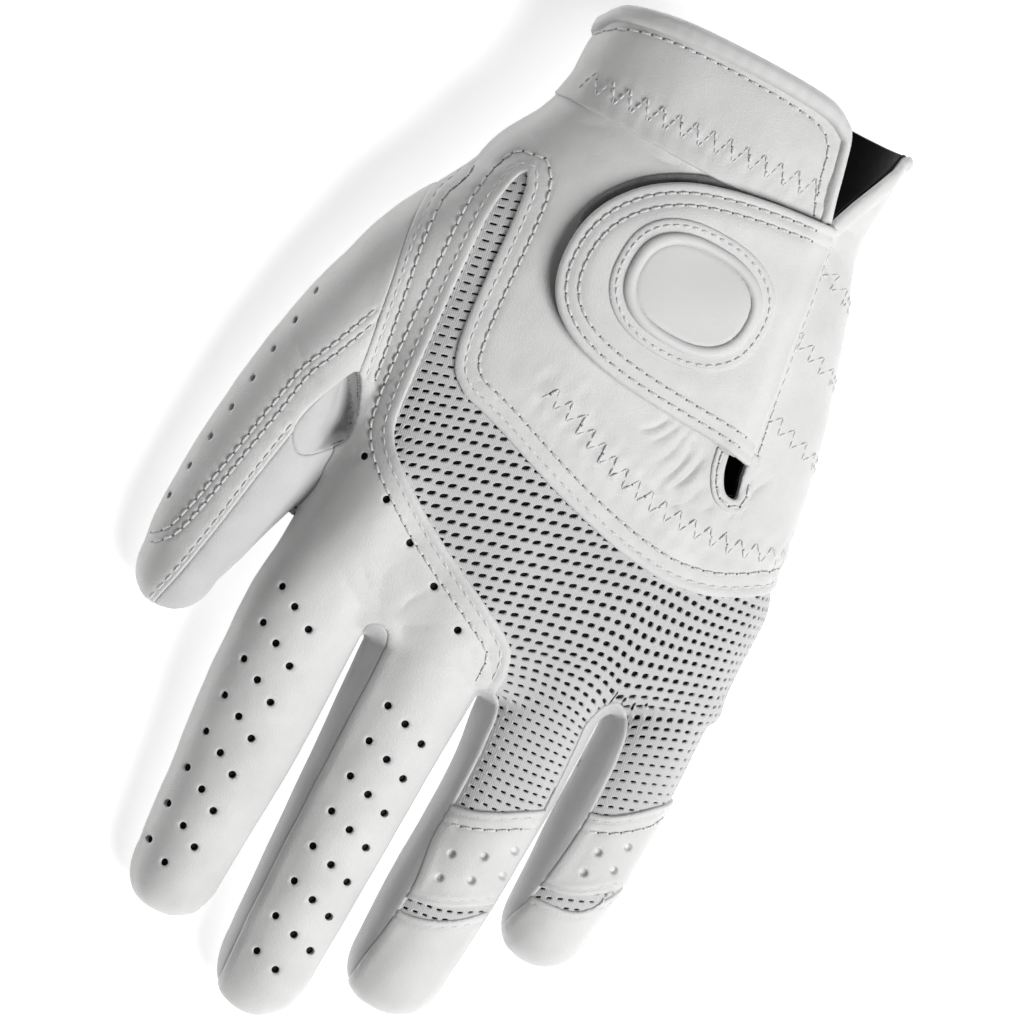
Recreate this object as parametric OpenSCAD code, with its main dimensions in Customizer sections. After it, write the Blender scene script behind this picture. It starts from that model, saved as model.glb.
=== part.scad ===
// Golf glove for the left hand, lying on its palm.
// +Y runs from the fingertips to the wrist, +X to the little-finger side, +Z up out of the back.
//
// The glove is built on a hand form. A layer is the space between two skins of that form, each
// a set distance outside the hand. Every panel is one layer, cut by its outline. Outlines are
// drawn on the pattern plane, which is tipped about the hand's long axis so that the finger
// sides facing the thumb can be drawn too, and they cut straight through it.

/* [Glove] */
// Length from the cuff edge to the middle fingertip
glove_length = 217; // [200:1:235]
// Width across the knuckles, on the pattern plane
glove_width = 93; // [85:1:100]
// Height of the hand form at the heel of the hand
glove_height = 36; // [32:1:40]

/* [Materials] */
// Thickness of the black lining
lining_t = 0.5; // [0.3:0.1:0.8]
// Thickness of the leather
leather_t = 0.8; // [0.5:0.1:1.2]
// Thickness of the knitted loop patch under the tab
loop_t = 1.0; // [0.6:0.1:1.4]
// Thickness of the hook patch on the tab
hook_t = 1.0; // [0.6:0.1:1.4]
// Thickness of the elastic sewn inside
elastic_t = 0.7; // [0.4:0.1:1]
// Height that the bindings stand above the leather
binding_rise = 0.9; // [0.5:0.1:1.2]

/* [Cuff] */
// Width of the rolled binding on the cuff edge
binding_w = 2.4; // [1.6:0.1:3.2]
// Width of the elastic under the zigzag stitching
elastic_w = 6; // [4:0.5:8]

/* [Closure tab] */
// Gap between the hooks and the loops, and at the tab's fold
closure_gap = 0.3; // [0.2:0.05:0.5]
// Width of the sewn base that holds the tab to the side of the glove
tab_base_w = 2; // [1.5:0.1:2.4]
// Inset of the hook patch from the tab's edge
hook_inset = 4; // [3:0.5:6]
// Margin of the loop patch outside the tab's edge
loop_margin = 1.6; // [0.8:0.2:2.4]

/* [Badge] */
// Width of the oval badge
badge_w = 27; // [20:1:28]
// Height of the oval badge
badge_h = 22; // [16:1:24]
// Thickness of the badge's backing
badge_backing_t = 0.6; // [0.4:0.1:1]
// Thickness of the badge's rim
badge_rim_t = 1.1; // [0.8:0.1:1.6]
// Width of the badge's rim
badge_rim_w = 2; // [1.2:0.1:3]
// Margin of stitched backing outside the rim
badge_margin = 1.6; // [1:0.2:2.4]

/* [Hidden] */

// The pattern is drawn for this size, and graded to the sizes above.
drawn_length = 217;
drawn_width = 93;
drawn_height = 36;
grade_y = glove_length / drawn_length;
grade_x = glove_width / drawn_width;
grade_z = glove_height / drawn_height;

// Tip of the pattern plane about the hand's long axis, and the height it passes through at x = 0
pattern_tilt = 20;
pattern_z = 20 * grade_z;
// Moves the glove so that the origin is under the centre of its box
centre_shift = [-1.58 * grade_x, 4 * grade_y, -0.9 * grade_z];

// Distances outside the hand of each layer's two skins
lining_out = lining_t;
leather_out = lining_out + leather_t;
loop_out = leather_out + loop_t;
band_out = leather_out + leather_t;
binding_out = leather_out + binding_rise;
hook_in = loop_out + closure_gap;
hook_out = hook_in + hook_t;
backing_out = hook_out + leather_t;
tab_out = backing_out + leather_t;
badge_backing_out = tab_out + badge_backing_t;
badge_rim_out = badge_backing_out + badge_rim_t;
badge_field_out = badge_backing_out + badge_rim_t * 0.4;

// Squareness of the cross-sections: 2 is an ellipse, and more is squarer
hand_square = 2.5;
finger_square = 2.3;
hand_sides = 28;
finger_sides = 16;
// The lining has every other corner of the leather's polygons, so it lies inside them
lining_every = 2;

// Stations of the hand form: y, left edge and right edge on the pattern plane, height of the
// middle, half height. A finger's last number is the length of its rounded tip.
hand = [[112, -28.6, 38.4, 21.6, 18.5], [95, -29.4, 37.8, 21.2, 17.8], [82, -30.2, 37.3, 20.5, 17.3],
    [70, -34.5, 42, 19.8, 17.6], [58, -38.8, 46, 19.2, 18], [42, -41, 50.6, 18.8, 17.8],
    [25, -40, 54, 18.5, 17], [8, -36.8, 55.8, 18.2, 15.5], [-8, -34.6, 57, 17.8, 13.8],
    [-16, -34.8, 57.4, 17.4, 12.8], [-22, -35, 41, 16.8, 11.8], [-30, -34, 32, 16, 10.4]];
index_finger = [[-12, -34.3, -12.5, 17.5, 12], [-30, -37, -13.4, 16.2, 10.6],
    [-40, -37.4, -13.3, 15.2, 10], [-60, -36, -13, 13, 9.4], [-80, -34, -13.9, 11, 9],
    [-91, -32.7, -14.4, 10, 8.7]];
middle_finger = [[-12, -12.5, 13, 18, 12.3], [-32, -12.7, 12.6, 16.8, 10.8],
    [-45, -12, 12.2, 15.5, 10.1], [-60, -11, 11.7, 14, 9.6], [-80, -9.8, 11.3, 12, 9.2],
    [-98, -8.6, 10.8, 10.2, 8.8]];
ring_finger = [[-8, 13, 37, 17.5, 12], [-32, 13, 37, 15.8, 10.5], [-45, 14.5, 37, 14.5, 9.8],
    [-60, 14.9, 36.7, 13, 9.3], [-75, 14.5, 36, 11.5, 9], [-88, 14.8, 35, 10.3, 8.6]];
little_finger = [[0, 36, 57.3, 15.5, 12], [-22, 37, 57.8, 14, 10], [-38, 37.5, 58.3, 12.5, 9],
    [-55, 37.9, 57.8, 11, 8.6], [-66, 38.3, 56.8, 10, 8.2]];
thumb = [[62, -38, -18, 17, 12], [45, -48.3, -24, 15, 13], [30, -53.5, -29, 13.5, 12.5],
    [15, -57.3, -33.5, 12.5, 11.8], [0, -59.6, -35.2, 11.8, 11], [-15, -60.8, -37.5, 11, 10.2],
    [-30, -61.3, -41.3, 10.5, 9.6], [-38, -60.3, -43.8, 10.2, 9.2]];
index_tip = 11;
middle_tip = 14;
ring_tip = 11.3;
little_tip = 10.5;
thumb_tip = 9.5;

// Outlines on the pattern plane, as points that a smooth curve passes through
cuff_top_y = 104;
thumb_seam = [[-50, 66], [-42, 60], [-43.8, 52], [-43.3, 42], [-41.2, 30], [-39.4, 19], [-38.4, 12]];
thumb_cleft = [[-38.4, 12], [-38.8, 4], [-35.7, -3], [-35.6, -7.5], [-35.4, -12], [-37, -18], [-38.8, -24], [-40.5, -36],
    [-42, -52]];
thumb_split = [[-44.6, -4], [-46.5, -16], [-48.8, -30], [-50.8, -40], [-52.6, -47], [-53.4, -52]];
gusset = [[-38.6, 12.4], [-41.5, 7.5], [-44.2, 0], [-44.2, -5], [-41, -7.6], [-37, -5], [-34.3, 0], [-35.3, 6.4]];
mesh_strip_right = [[-28.3, 63.2], [-26.9, 60], [-26, 52], [-25.4, 42], [-24.6, 32], [-23.6, 26],
    [-21.8, 21.5], [-18, 18.4]];
mesh_upper = [[-18, 18.4], [-10, 16.2], [0, 12.7], [10, 9.4], [20, 6.8], [28, 5.4], [36, 5], [44, 6.6],
    [50, 9.4], [56, 13], [66, 18]];
mesh_lower = [[15.8, -31.5], [15.9, -27], [15, -23], [12, -19.8], [5, -16], [-4, -11.5], [-12, -7],
    [-20, -1.5], [-24.5, 2], [-27, 5.5], [-28, 9.5]];
mesh_strip_left = [[-28, 9.5], [-28.6, 15], [-29.6, 28], [-30.5, 42], [-31, 52], [-30.5, 58],
    [-29.5, 61.8], [-28.3, 63.2]];
index_right = [[-13.6, -33.5], [-13.6, -46], [-13.4, -60], [-13.6, -80], [-14.5, -95], [-15, -108]];
middle_left = [[-7.8, -33], [-7.6, -40], [-7.3, -60], [-7, -75], [-6.5, -90], [-5.8, -103], [-5.2, -118]];
middle_right = [[11.8, -33], [11.8, -45], [11.9, -60], [11.6, -80], [11, -98], [10.5, -118]];
ring_left = [[18.4, -37], [18.9, -45], [19, -55], [18.9, -63], [19.8, -70], [19.9, -76], [19, -85],
    [18, -92], [17, -104]];
ring_right = [[35.2, -28], [36, -40], [36.4, -60], [36, -75], [35, -88], [33.5, -104]];
little_left = [[44.2, -33], [44.5, -43], [44, -52], [43, -60], [41.8, -66], [40.2, -71], [39, -82]];
crotch_index_middle = [[-13.6, -33.5], [-13.4, -31.4], [-12.3, -30.1], [-10.5, -29.7], [-8.8, -30.6], [-7.8, -33]];
crotch_middle_ring = [[11.8, -33], [12.4, -31.9], [14, -31.2], [16, -31.6], [17.6, -33.5], [18.4, -37]];
crotch_ring_little = [[35.2, -28], [36.5, -23.5], [38.7, -21.3], [41.5, -23], [43.3, -27], [44.2, -33]];
finger_root_y = -31;
index_wall = [[-13.9, -32.5], [-14, -45], [-14, -60], [-14.2, -80], [-15, -92], [-19, -106]];
index_gap = [[-13.7, -31], [-12.9, -33.5], [-11, -45], [-10.4, -60], [-9.6, -80], [-9.6, -106]];
middle_wall = [[11.8, -32.5], [11.7, -45], [11.7, -60], [12, -80], [12, -98], [8, -116]];
middle_gap = [[15, -32.5], [16, -45], [16.6, -60], [16.8, -80], [17, -116]];
ring_wall = [[37, -20], [38.3, -45], [38.5, -60], [38.3, -75], [37.5, -88], [34, -102]];
ring_gap = [[43.6, -20], [41.8, -31], [42, -45], [42.5, -60], [43, -75], [43, -102]];
ring_band_top = [[12, -57], [19, -55.2], [23, -54.2], [28, -52], [32, -49.6], [35, -47.8], [40, -44.6]];
ring_band_bottom = [[12, -77], [19.8, -76], [24, -75.2], [28, -73.8], [32, -71.6], [35.5, -69.3], [40, -66]];
ring_cap_top = [[12, -79.5], [20.3, -79], [23, -78.7], [27, -77.5], [31, -75.3], [34, -72.8], [40, -67]];
little_band_top = [[39, -44.5], [44, -43.5], [48, -42.3], [52, -39.6], [55, -37], [57.5, -34], [64, -26]];
little_band_bottom = [[39, -62], [44.5, -61.2], [48, -60.5], [52, -58.6], [55, -56.2], [57.5, -53], [64, -44]];
little_cap_top = [[36, -64.5], [43.5, -64], [46, -63.8], [50, -63.3], [53, -61.8], [56, -58.5], [64, -49]];
tab_curve = [[30.5, 83.3], [20, 82], [10, 80], [1, 77], [-6, 72.5], [-10.8, 67], [-13.5, 61.5], [-14.5, 56],
    [-14.2, 50], [-12.4, 45], [-9.4, 41.4], [-5, 38.6], [1, 36.6], [9, 35.3], [20, 34.6], [30, 34.2], [38, 33.2]];
tab_fold_top = [30.5, 83.3];
tab_fold_bottom = [38, 33.2];
tab_base_top = 77;
band_end = [[20, 105.2], [23, 103.2], [25, 100], [26.4, 95], [28, 88.5], [29.4, 83.6]];
wing_edge = [[30, 83.6], [32.2, 89.5], [35, 96], [37.2, 101.5], [38.4, 106]];
keyhole = [[34.2, 33.5], [34.2, 30.5], [35.4, 27.6], [37.4, 25.9], [39.2, 27], [39.2, 30], [38.4, 33.5]];
slit_line = [[35.4, 33], [34.2, 42], [32.4, 58], [30, 72], [29.2, 78], [29, 84.5]];
slit_w = 1.2;
band_bottom = [[-80, 80], [-29, 80], [5, 80], [18, 81.7], [29.4, 83.6]];
back_zigzag = [[-4, 27], [3, 25.2], [10, 22], [20, 18.6], [30, 17.2], [42, 17.4], [51, 19], [64, 21]];
side_zigzags = [[[40, 44.5], [49, 42]], [[36, 61.5], [44, 58.5]], [[33.5, 74.5], [40, 71.5]]];
badge_centre = [10.8, 57.5];
keyhole_facing_w = 2.6;
slit_binding_w = 1.4;

// Seam between the back and the palm, as y and z along the sides of the glove
palm_seam = [[-125, 5.5], [-100, 6.5], [-60, 9.5], [-30, 12], [0, 14], [60, 15], [125, 17]];

far = 80;

// A smooth curve through points, steps pieces to each span (Catmull-Rom)
function curve(p, steps = 2) = [
    for (i = [0 : len(p) - 2])
        let (a = p[max(i - 1, 0)], b = p[i], c = p[i + 1], d = p[min(i + 2, len(p) - 1)])
            for (k = [0 : steps - 1])
                let (u = k / steps)
                    0.5 * (2 * b + (c - a) * u + (2 * a - 5 * b + 4 * c - d) * u * u
                        + (3 * b - 3 * c + d - a) * u * u * u),
    p[len(p) - 1]];
function reversed(p) = [for (i = [len(p) - 1 : -1 : 0]) p[i]];
function graded(p) = [for (q = p) [q.x * grade_x, q.y * grade_y]];
function shifted(p, dx, dy) = [for (q = p) q + [dx, dy]];
function signed_power(v, e) = sign(v) * pow(abs(v), e);
function superellipse(a, b, n, sides, every = 1) = [
    for (i = [0 : every : sides - 1])
        let (w = (i + 0.5) * 360 / sides) [a * signed_power(cos(w), 2 / n), b * signed_power(sin(w), 2 / n)]];

// Half width of a cross-section whose half width on the pattern plane is h
function half_width(h, b, n) =
    let (m = n / (n - 1))
        pow(pow(h, m) - pow(b * sin(pattern_tilt), m), 1 / m) / cos(pattern_tilt);
function centre_x(s, z) = (s - (z - pattern_z) * sin(pattern_tilt)) / cos(pattern_tilt);

// One thin cross-section of the form, out mm outside the hand. A station gives the leather's
// own outside, so the hand is leather_out inside it.
module slice(station, n, sides, out, every = 1, shrink = 1, dy = 0) {
    z = station[3] * grade_z;
    b = station[4] * grade_z;
    s = (station[1] + station[2]) / 2 * grade_x;
    a = half_width((station[2] - station[1]) / 2 * grade_x, b, n);
    more = out - leather_out;
    translate(centre_shift + [centre_x(s, z), station[0] * grade_y + dy, z])
        rotate([90, 0, 0])
            linear_extrude(0.02, center = true)
                polygon(superellipse((a + more) * shrink, (b + more) * shrink, n, sides, every));
}

// A tube through stations, and a rounded tip beyond the last one
module tube(stations, n, sides, out, tip, every = 1) {
    last = stations[len(stations) - 1];
    for (i = [0 : len(stations) - 2])
        hull() {
            slice(stations[i], n, sides, out, every);
            slice(stations[i + 1], n, sides, out, every);
        }
    steps = [0, 0.4, 0.7, 0.92, 1];
    for (i = [0 : len(steps) - 2])
        hull()
            for (f = [steps[i], steps[i + 1]])
                slice(last, n, sides, out, every, max(pow(1 - pow(f, n), 1 / n), 0.15),
                    -f * (tip + out - leather_out));
}

// The hand form, out mm outside the hand
module form(out, every = 1) {
    tube(hand, hand_square, hand_sides, out, 3, every);
    tube(index_finger, finger_square, finger_sides, out, index_tip, every);
    tube(middle_finger, finger_square, finger_sides, out, middle_tip, every);
    tube(ring_finger, finger_square, finger_sides, out, ring_tip, every);
    tube(little_finger, finger_square, finger_sides, out, little_tip, every);
    tube(thumb, finger_square, finger_sides, out, thumb_tip, every);
}

// The wrist end of the form, for the pieces that only lie there
module wrist_form(out, every = 1) {
    tube([for (k = [0 : 7]) hand[k]], hand_square, hand_sides, out, 1, every);
}

// The space between two skins of the form
module layer(inner, outer) {
    difference() {
        form(outer);
        form(inner);
    }
}
module wrist_layer(inner, outer) {
    difference() {
        wrist_form(outer);
        wrist_form(inner);
    }
}

// Carries an outline on the pattern plane straight through the glove
module through() {
    translate(centre_shift + [0, 0, pattern_z])
        rotate([0, -pattern_tilt, 0])
            linear_extrude(3 * far, center = true)
                children();
}

// The same through the upper side only, which is the side that the slit and the tab are on
module through_top() {
    translate(centre_shift + [0, 0, pattern_z])
        rotate([0, -pattern_tilt, 0])
            translate([0, 0, -3])
                linear_extrude(2 * far)
                    children();
}

// All that lies above the seam between back and palm
module above_palm_seam() {
    seam = [for (p = palm_seam) [p.x * grade_y, p.y * grade_z]];
    translate(centre_shift)
        rotate([90, 0, 90])
            linear_extrude(4 * far, center = true)
                polygon(concat(seam, [[2 * far, far], [-2 * far, far]]));
}

// Outlines. One that no seam bounds runs out past the glove.
module outline(p) {
    polygon(graded(p));
}
module strip(p, w) {
    outline(concat(shifted(curve(p), 0, w / 2), reversed(shifted(curve(p), 0, -w / 2))));
}
module thumb_outline() {
    outline(concat([[-120, 66]], curve(thumb_seam), curve(thumb_cleft), [[-42, -90], [-120, -90]]));
}
module thumb_front_outline() {
    outline(concat([[-25, -4]], curve(thumb_split), [[-53.4, -90], [-25, -90]]));
}
module gusset_outline() {
    outline(curve(concat(gusset, [gusset[0]])));
}
module strip_index_middle_outline() {
    outline(concat(curve(crotch_index_middle), curve(middle_left), reversed(curve(index_right))));
}
module strip_middle_ring_outline() {
    outline(concat(curve(crotch_middle_ring), curve(ring_left), reversed(curve(middle_right))));
}
module strip_ring_little_outline() {
    outline(concat(curve(crotch_ring_little), curve(little_left), reversed(curve(ring_right))));
}
// The walls of the fingers that face the little finger, as upright blocks in the gaps
module side_wall(seam, gap) {
    translate(centre_shift)
        linear_extrude(far)
            outline(concat(curve(seam), reversed(curve(gap))));
}
module side_wall_index() {
    side_wall(index_wall, index_gap);
}
module side_wall_middle() {
    side_wall(middle_wall, middle_gap);
}
module side_wall_ring() {
    side_wall(ring_wall, ring_gap);
}
module side_strip_outlines() {
    strip_index_middle_outline();
    strip_middle_ring_outline();
    strip_ring_little_outline();
}
module below_ring_band_top() {
    outline(concat(curve(ring_band_top), [[40, -120], [12, -120]]));
}
module below_little_band_top() {
    outline(concat(curve(little_band_top), [[80, -26], [80, -120], [36, -120]]));
}
module insert_outline() {
    outline(concat(curve(mesh_strip_right), curve(mesh_upper), [[90, 18], [90, -70], [15.8, -70]],
        curve(mesh_lower), curve(mesh_strip_left)));
}
module band_outline() {
    outline(concat(curve(band_bottom), reversed(curve(band_end)), [[-80, 105.2]]));
}
module tab_outline() {
    outline(curve(tab_curve));
}
// All that lies to the right of the line that the tab folds on, moved dx across it
module right_of_fold(dx) {
    edge = shifted([tab_fold_top + (tab_fold_top - tab_fold_bottom), tab_fold_bottom
        + (tab_fold_bottom - tab_fold_top)], dx - tab_base_w, 0);
    outline(concat(edge, [[90, edge[1].y], [90, edge[0].y]]));
}
module keyhole_outline() {
    outline(curve(keyhole));
}
module slit_outline() {
    keyhole_outline();
    outline(concat(curve(slit_line), shifted(reversed(curve(slit_line)), slit_w, 0)));
    outline(concat(curve([for (k = [0 : 5]) band_end[k]]), curve(wing_edge), [[38, 120], [15, 120]]));
}
module cuff_edge_outline() {
    outline([[-90, cuff_top_y - binding_w], [90, cuff_top_y - binding_w], [90, 130], [-90, 130]]);
}
module binding_outline() {
    outline([[-90, cuff_top_y - binding_w], [90, cuff_top_y - binding_w], [90, cuff_top_y], [-90, cuff_top_y]]);
}
module right_of_slit() {
    outline(concat(curve(slit_line), curve(wing_edge), [[90, 120], [90, 30]]));
}
module badge_outline(grow) {
    translate([badge_centre.x * grade_x, badge_centre.y * grade_y])
        polygon(superellipse(badge_w / 2 + grow, badge_h / 2 + grow, 2.4, 40));
}

// One panel of the leather layer: the outline that is its child, above the palm seam
module back_panel() {
    intersection() {
        layer(lining_out, leather_out);
        difference() {
            through()
                children();
            side_wall_index();
            side_wall_middle();
            side_wall_ring();
        }
        above_palm_seam();
    }
}
// The upright block that holds one finger, between the gaps on its two sides
module finger_block(left, right) {
    translate(centre_shift + [0, 0, -far])
        linear_extrude(3 * far)
            outline(concat([[left[0].x, finger_root_y]], curve([for (q = left) if (q.y < finger_root_y) q]),
                [[left[0].x, -140], [right[0].x, -140]],
                reversed(curve([for (q = right) if (q.y < finger_root_y) q])), [[right[0].x, finger_root_y]]));
}
module index_block() {
    finger_block([[-120, 0], [-120, -40]], index_gap);
}
module middle_block() {
    finger_block(index_gap, middle_gap);
}
module ring_block() {
    finger_block(middle_gap, ring_gap);
}
module little_block() {
    finger_block(ring_gap, [[120, 0], [120, -40]]);
}

// A strip between two fingers: the wall of one, the crotch, and the wall of the next
module side_strip() {
    intersection() {
        layer(lining_out, leather_out);
        union()
            children();
        above_palm_seam();
    }
}

// Sub-parts
leather_colour = [0.86, 0.86, 0.84];
mesh_colour = [0.82, 0.82, 0.81];
side_colour = [0.72, 0.72, 0.7];
black = [0.06, 0.06, 0.06];

// The palm leather is one piece with the fronts of the fingers, and is built finger by finger
module palm_part() {
    color(leather_colour)
        intersection() {
            difference() {
                layer(lining_out, leather_out);
                above_palm_seam();
                through() {
                    thumb_outline();
                    gusset_outline();
                    cuff_edge_outline();
                }
            }
            children();
        }
}
module palm_leather() {
    palm_part()
        translate([-2 * far, finger_root_y * grade_y + centre_shift.y, -far])
            cube([4 * far, 3 * far, 2 * far]);
}
module index_front() {
    palm_part()
        index_block();
}
module middle_front() {
    palm_part()
        middle_block();
}
module ring_front() {
    palm_part()
        ring_block();
}
module little_front() {
    palm_part()
        little_block();
}

// The back leather is one piece with the backs of the index and middle fingers
module back_part() {
    color(leather_colour)
        intersection() {
            back_panel()
                difference() {
                    square(4 * far, center = true);
                    thumb_outline();
                    gusset_outline();
                    cuff_edge_outline();
                    side_strip_outlines();
                    insert_outline();
                    below_ring_band_top();
                    below_little_band_top();
                }
            children();
        }
}
module back_leather() {
    back_part()
        difference() {
            translate([-2 * far, finger_root_y * grade_y + centre_shift.y, -far])
                cube([4 * far, 3 * far, 2 * far]);
            through_top()
                slit_outline();
        }
}
module index_back() {
    back_part()
        index_block();
}
module middle_back() {
    back_part()
        middle_block();
}

module back_mesh() {
    color(mesh_colour)
        back_panel()
            difference() {
                insert_outline();
                side_strip_outlines();
                below_ring_band_top();
                below_little_band_top();
            }
}

module ring_knuckle_band() {
    color(leather_colour)
        back_panel()
            difference() {
                outline(concat(curve(ring_band_top), reversed(curve(ring_band_bottom))));
                side_strip_outlines();
            }
}

module ring_flex_mesh() {
    color(mesh_colour)
        back_panel()
            difference() {
                outline(concat(curve(ring_band_bottom), reversed(curve(ring_cap_top))));
                side_strip_outlines();
            }
}

module ring_tip_cap() {
    color(leather_colour)
        back_panel()
            difference() {
                outline(concat(curve(ring_cap_top), [[40, -120], [12, -120]]));
                side_strip_outlines();
            }
}

module little_knuckle_band() {
    color(leather_colour)
        back_panel()
            difference() {
                outline(concat(curve(little_band_top), reversed(curve(little_band_bottom))));
                side_strip_outlines();
            }
}

module little_flex_mesh() {
    color(mesh_colour)
        back_panel()
            difference() {
                outline(concat(curve(little_band_bottom), reversed(curve(little_cap_top))));
                side_strip_outlines();
            }
}

module little_tip_cap() {
    color(leather_colour)
        back_panel()
            difference() {
                outline(concat(curve(little_cap_top), [[80, -49], [80, -120], [36, -120]]));
                side_strip_outlines();
            }
}

module side_strip_index_middle() {
    color(side_colour)
        side_strip() {
            through()
                strip_index_middle_outline();
            side_wall_index();
        }
}

module side_strip_middle_ring() {
    color(side_colour)
        side_strip() {
            through()
                strip_middle_ring_outline();
            side_wall_middle();
        }
}

module side_strip_ring_little() {
    color(side_colour)
        side_strip() {
            through()
                strip_ring_little_outline();
            side_wall_ring();
        }
}

module thumb_back() {
    color(leather_colour)
        intersection() {
            layer(lining_out, leather_out);
            through()
                difference() {
                    thumb_outline();
                    thumb_front_outline();
                    gusset_outline();
                }
        }
}

module thumb_front() {
    color(leather_colour)
        intersection() {
            layer(lining_out, leather_out);
            through()
                difference() {
                    intersection() {
                        thumb_outline();
                        thumb_front_outline();
                    }
                    gusset_outline();
                }
        }
}

module thumb_gusset() {
    color(side_colour)
        intersection() {
            layer(lining_out, leather_out);
            through()
                gusset_outline();
        }
}

module inner_lining() {
    color(black)
        difference() {
            form(lining_out, lining_every);
            form(0, lining_every);
            through()
                cuff_edge_outline();
            through_top()
                slit_outline();
        }
}

// Elastics are sewn to the inside of the lining, where the zigzag stitching shows
module elastic() {
    color([0.9, 0.9, 0.88])
        intersection() {
            wrist_form(0, lining_every);
            difference() {
                through()
                    children();
                through_top()
                    slit_outline();
                wrist_form(-elastic_t, lining_every);
            }
            above_palm_seam();
        }
}
module cuff_elastic() {
    elastic()
        strip([[-40, 86.7], [0, 86.7], [24.5, 87.4]], elastic_w);
}
module back_elastic() {
    elastic()
        strip(back_zigzag, elastic_w);
}
module side_elastics() {
    elastic()
        for (z = side_zigzags)
            strip(z, elastic_w);
}

module cuff_band() {
    color(leather_colour)
        intersection() {
            wrist_layer(leather_out, band_out);
            through()
                difference() {
                    band_outline();
                    cuff_edge_outline();
                    end_binding_outline();
                }
            above_palm_seam();
        }
}
module end_binding_outline() {
    difference() {
        band_outline();
        translate([-binding_w, 0])
            band_outline();
        outline([[-90, 60], [0, 60], [0, 130], [-90, 130]]);
        outline([[-90, cuff_top_y], [90, cuff_top_y], [90, 130], [-90, 130]]);
    }
}

module cuff_binding() {
    color(leather_colour)
        intersection() {
            difference() {
                wrist_form(band_out + binding_rise);
                wrist_form(-0.4);
                intersection() {
                    wrist_form(leather_out);
                    through()
                        outline([[-90, 0], [90, 0], [90, cuff_top_y - binding_w], [-90, cuff_top_y - binding_w]]);
                }
            }
            through() {
                intersection() {
                    band_outline();
                    binding_outline();
                }
                end_binding_outline();
            }
            above_palm_seam();
        }
}

module palm_cuff_hem() {
    color(leather_colour)
        difference() {
            intersection() {
                wrist_layer(-0.4, binding_out);
                through()
                    binding_outline();
            }
            intersection() {
                through()
                    band_outline();
                above_palm_seam();
            }
            through_top()
                offset(delta = 0.05)
                    slit_outline();
        }
}

module slit_binding() {
    color(leather_colour)
        intersection() {
            wrist_layer(leather_out, binding_out);
            through_top()
                difference() {
                    outline(concat(curve(wing_edge), reversed(shifted(curve(wing_edge), slit_binding_w, 0))));
                    cuff_edge_outline();
                    slit_outline();
                }
        }
}

module keyhole_facing_outline() {
    difference() {
        offset(delta = keyhole_facing_w)
            keyhole_outline();
        slit_outline();
        offset(delta = loop_margin)
            tab_outline();
    }
}
module keyhole_facing() {
    color(leather_colour)
        intersection() {
            wrist_layer(leather_out, leather_out + leather_t * 0.8);
            through_top()
                keyhole_facing_outline();
        }
}

module loop_patch() {
    color([0.55, 0.55, 0.55])
        intersection() {
            wrist_layer(leather_out, loop_out);
            through_top()
                difference() {
                    offset(delta = loop_margin)
                        tab_outline();
                    offset(delta = 1)
                        slit_outline();
                    offset(delta = 0.2)
                        band_outline();
                    right_of_slit();
                    right_of_fold(0);
                }
        }
}

module tab_base() {
    color(leather_colour)
        intersection() {
            wrist_layer(leather_out, leather_out + leather_t);
            through_top()
                difference() {
                    intersection() {
                        tab_outline();
                        right_of_fold(0);
                        right_of_slit();
                    }
                    outline([[0, tab_base_top], [60, tab_base_top], [60, 120], [0, 120]]);
                    offset(delta = 0.3)
                        slit_outline();
                }
        }
}

// The moving tab: layers over the hooks, up to the fold
module tab_layer(inner, outer, inset) {
    intersection() {
        wrist_layer(inner, outer);
        through_top()
            difference() {
                offset(delta = -inset)
                    tab_outline();
                right_of_fold(-closure_gap - inset);
            }
    }
}
module tab_leather() {
    color(leather_colour)
        tab_layer(backing_out, tab_out, 0);
}
module tab_backing() {
    color([0.75, 0.75, 0.74])
        tab_layer(hook_out, backing_out, 0.8);
}
module hook_patch() {
    color([0.8, 0.8, 0.8])
        tab_layer(hook_in, hook_out, hook_inset);
}

module badge_layer(inner, outer) {
    intersection() {
        wrist_layer(inner, outer);
        through_top()
            children();
    }
}
module badge_backing() {
    color(leather_colour)
        badge_layer(tab_out, badge_backing_out)
            badge_outline(badge_margin);
}
module badge_rim() {
    color([0.9, 0.9, 0.89])
        badge_layer(badge_backing_out, badge_rim_out)
            difference() {
                badge_outline(0);
                badge_outline(-badge_rim_w);
            }
}
module badge_field() {
    color([0.83, 0.83, 0.83])
        badge_layer(badge_backing_out, badge_field_out)
            badge_outline(-badge_rim_w);
}

palm_leather();
index_front();
middle_front();
ring_front();
little_front();
back_leather();
index_back();
middle_back();
back_mesh();
ring_knuckle_band();
ring_flex_mesh();
ring_tip_cap();
little_knuckle_band();
little_flex_mesh();
little_tip_cap();
side_strip_index_middle();
side_strip_middle_ring();
side_strip_ring_little();
thumb_back();
thumb_front();
thumb_gusset();
inner_lining();
cuff_elastic();
back_elastic();
side_elastics();
cuff_band();
cuff_binding();
palm_cuff_hem();
slit_binding();
keyhole_facing();
loop_patch();
tab_base();
tab_leather();
tab_backing();
hook_patch();
badge_backing();
badge_rim();
badge_field();
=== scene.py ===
"""Golf glove: the leather, knitted mesh, stitching, closing tab and badge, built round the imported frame.

Lengths in this file are millimetres in the glove's own pattern frame, and turn into metres when a
piece is made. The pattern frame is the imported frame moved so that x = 0 is the pattern's centre line.

The glove is drawn on a hand form: smooth tubes of superelliptic section for the hand, the four
fingers and the thumb, melted together. form_distance() gives a point's distance outside the form,
whose own skin is the outside of the leather. Outlines are drawn on the pattern plane, which is
tipped about the hand's long axis. A place on it is (s, t): s across the hand, t towards the wrist.
"""
import math

import bpy
import numpy as np
from mathutils import Matrix, Vector


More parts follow.
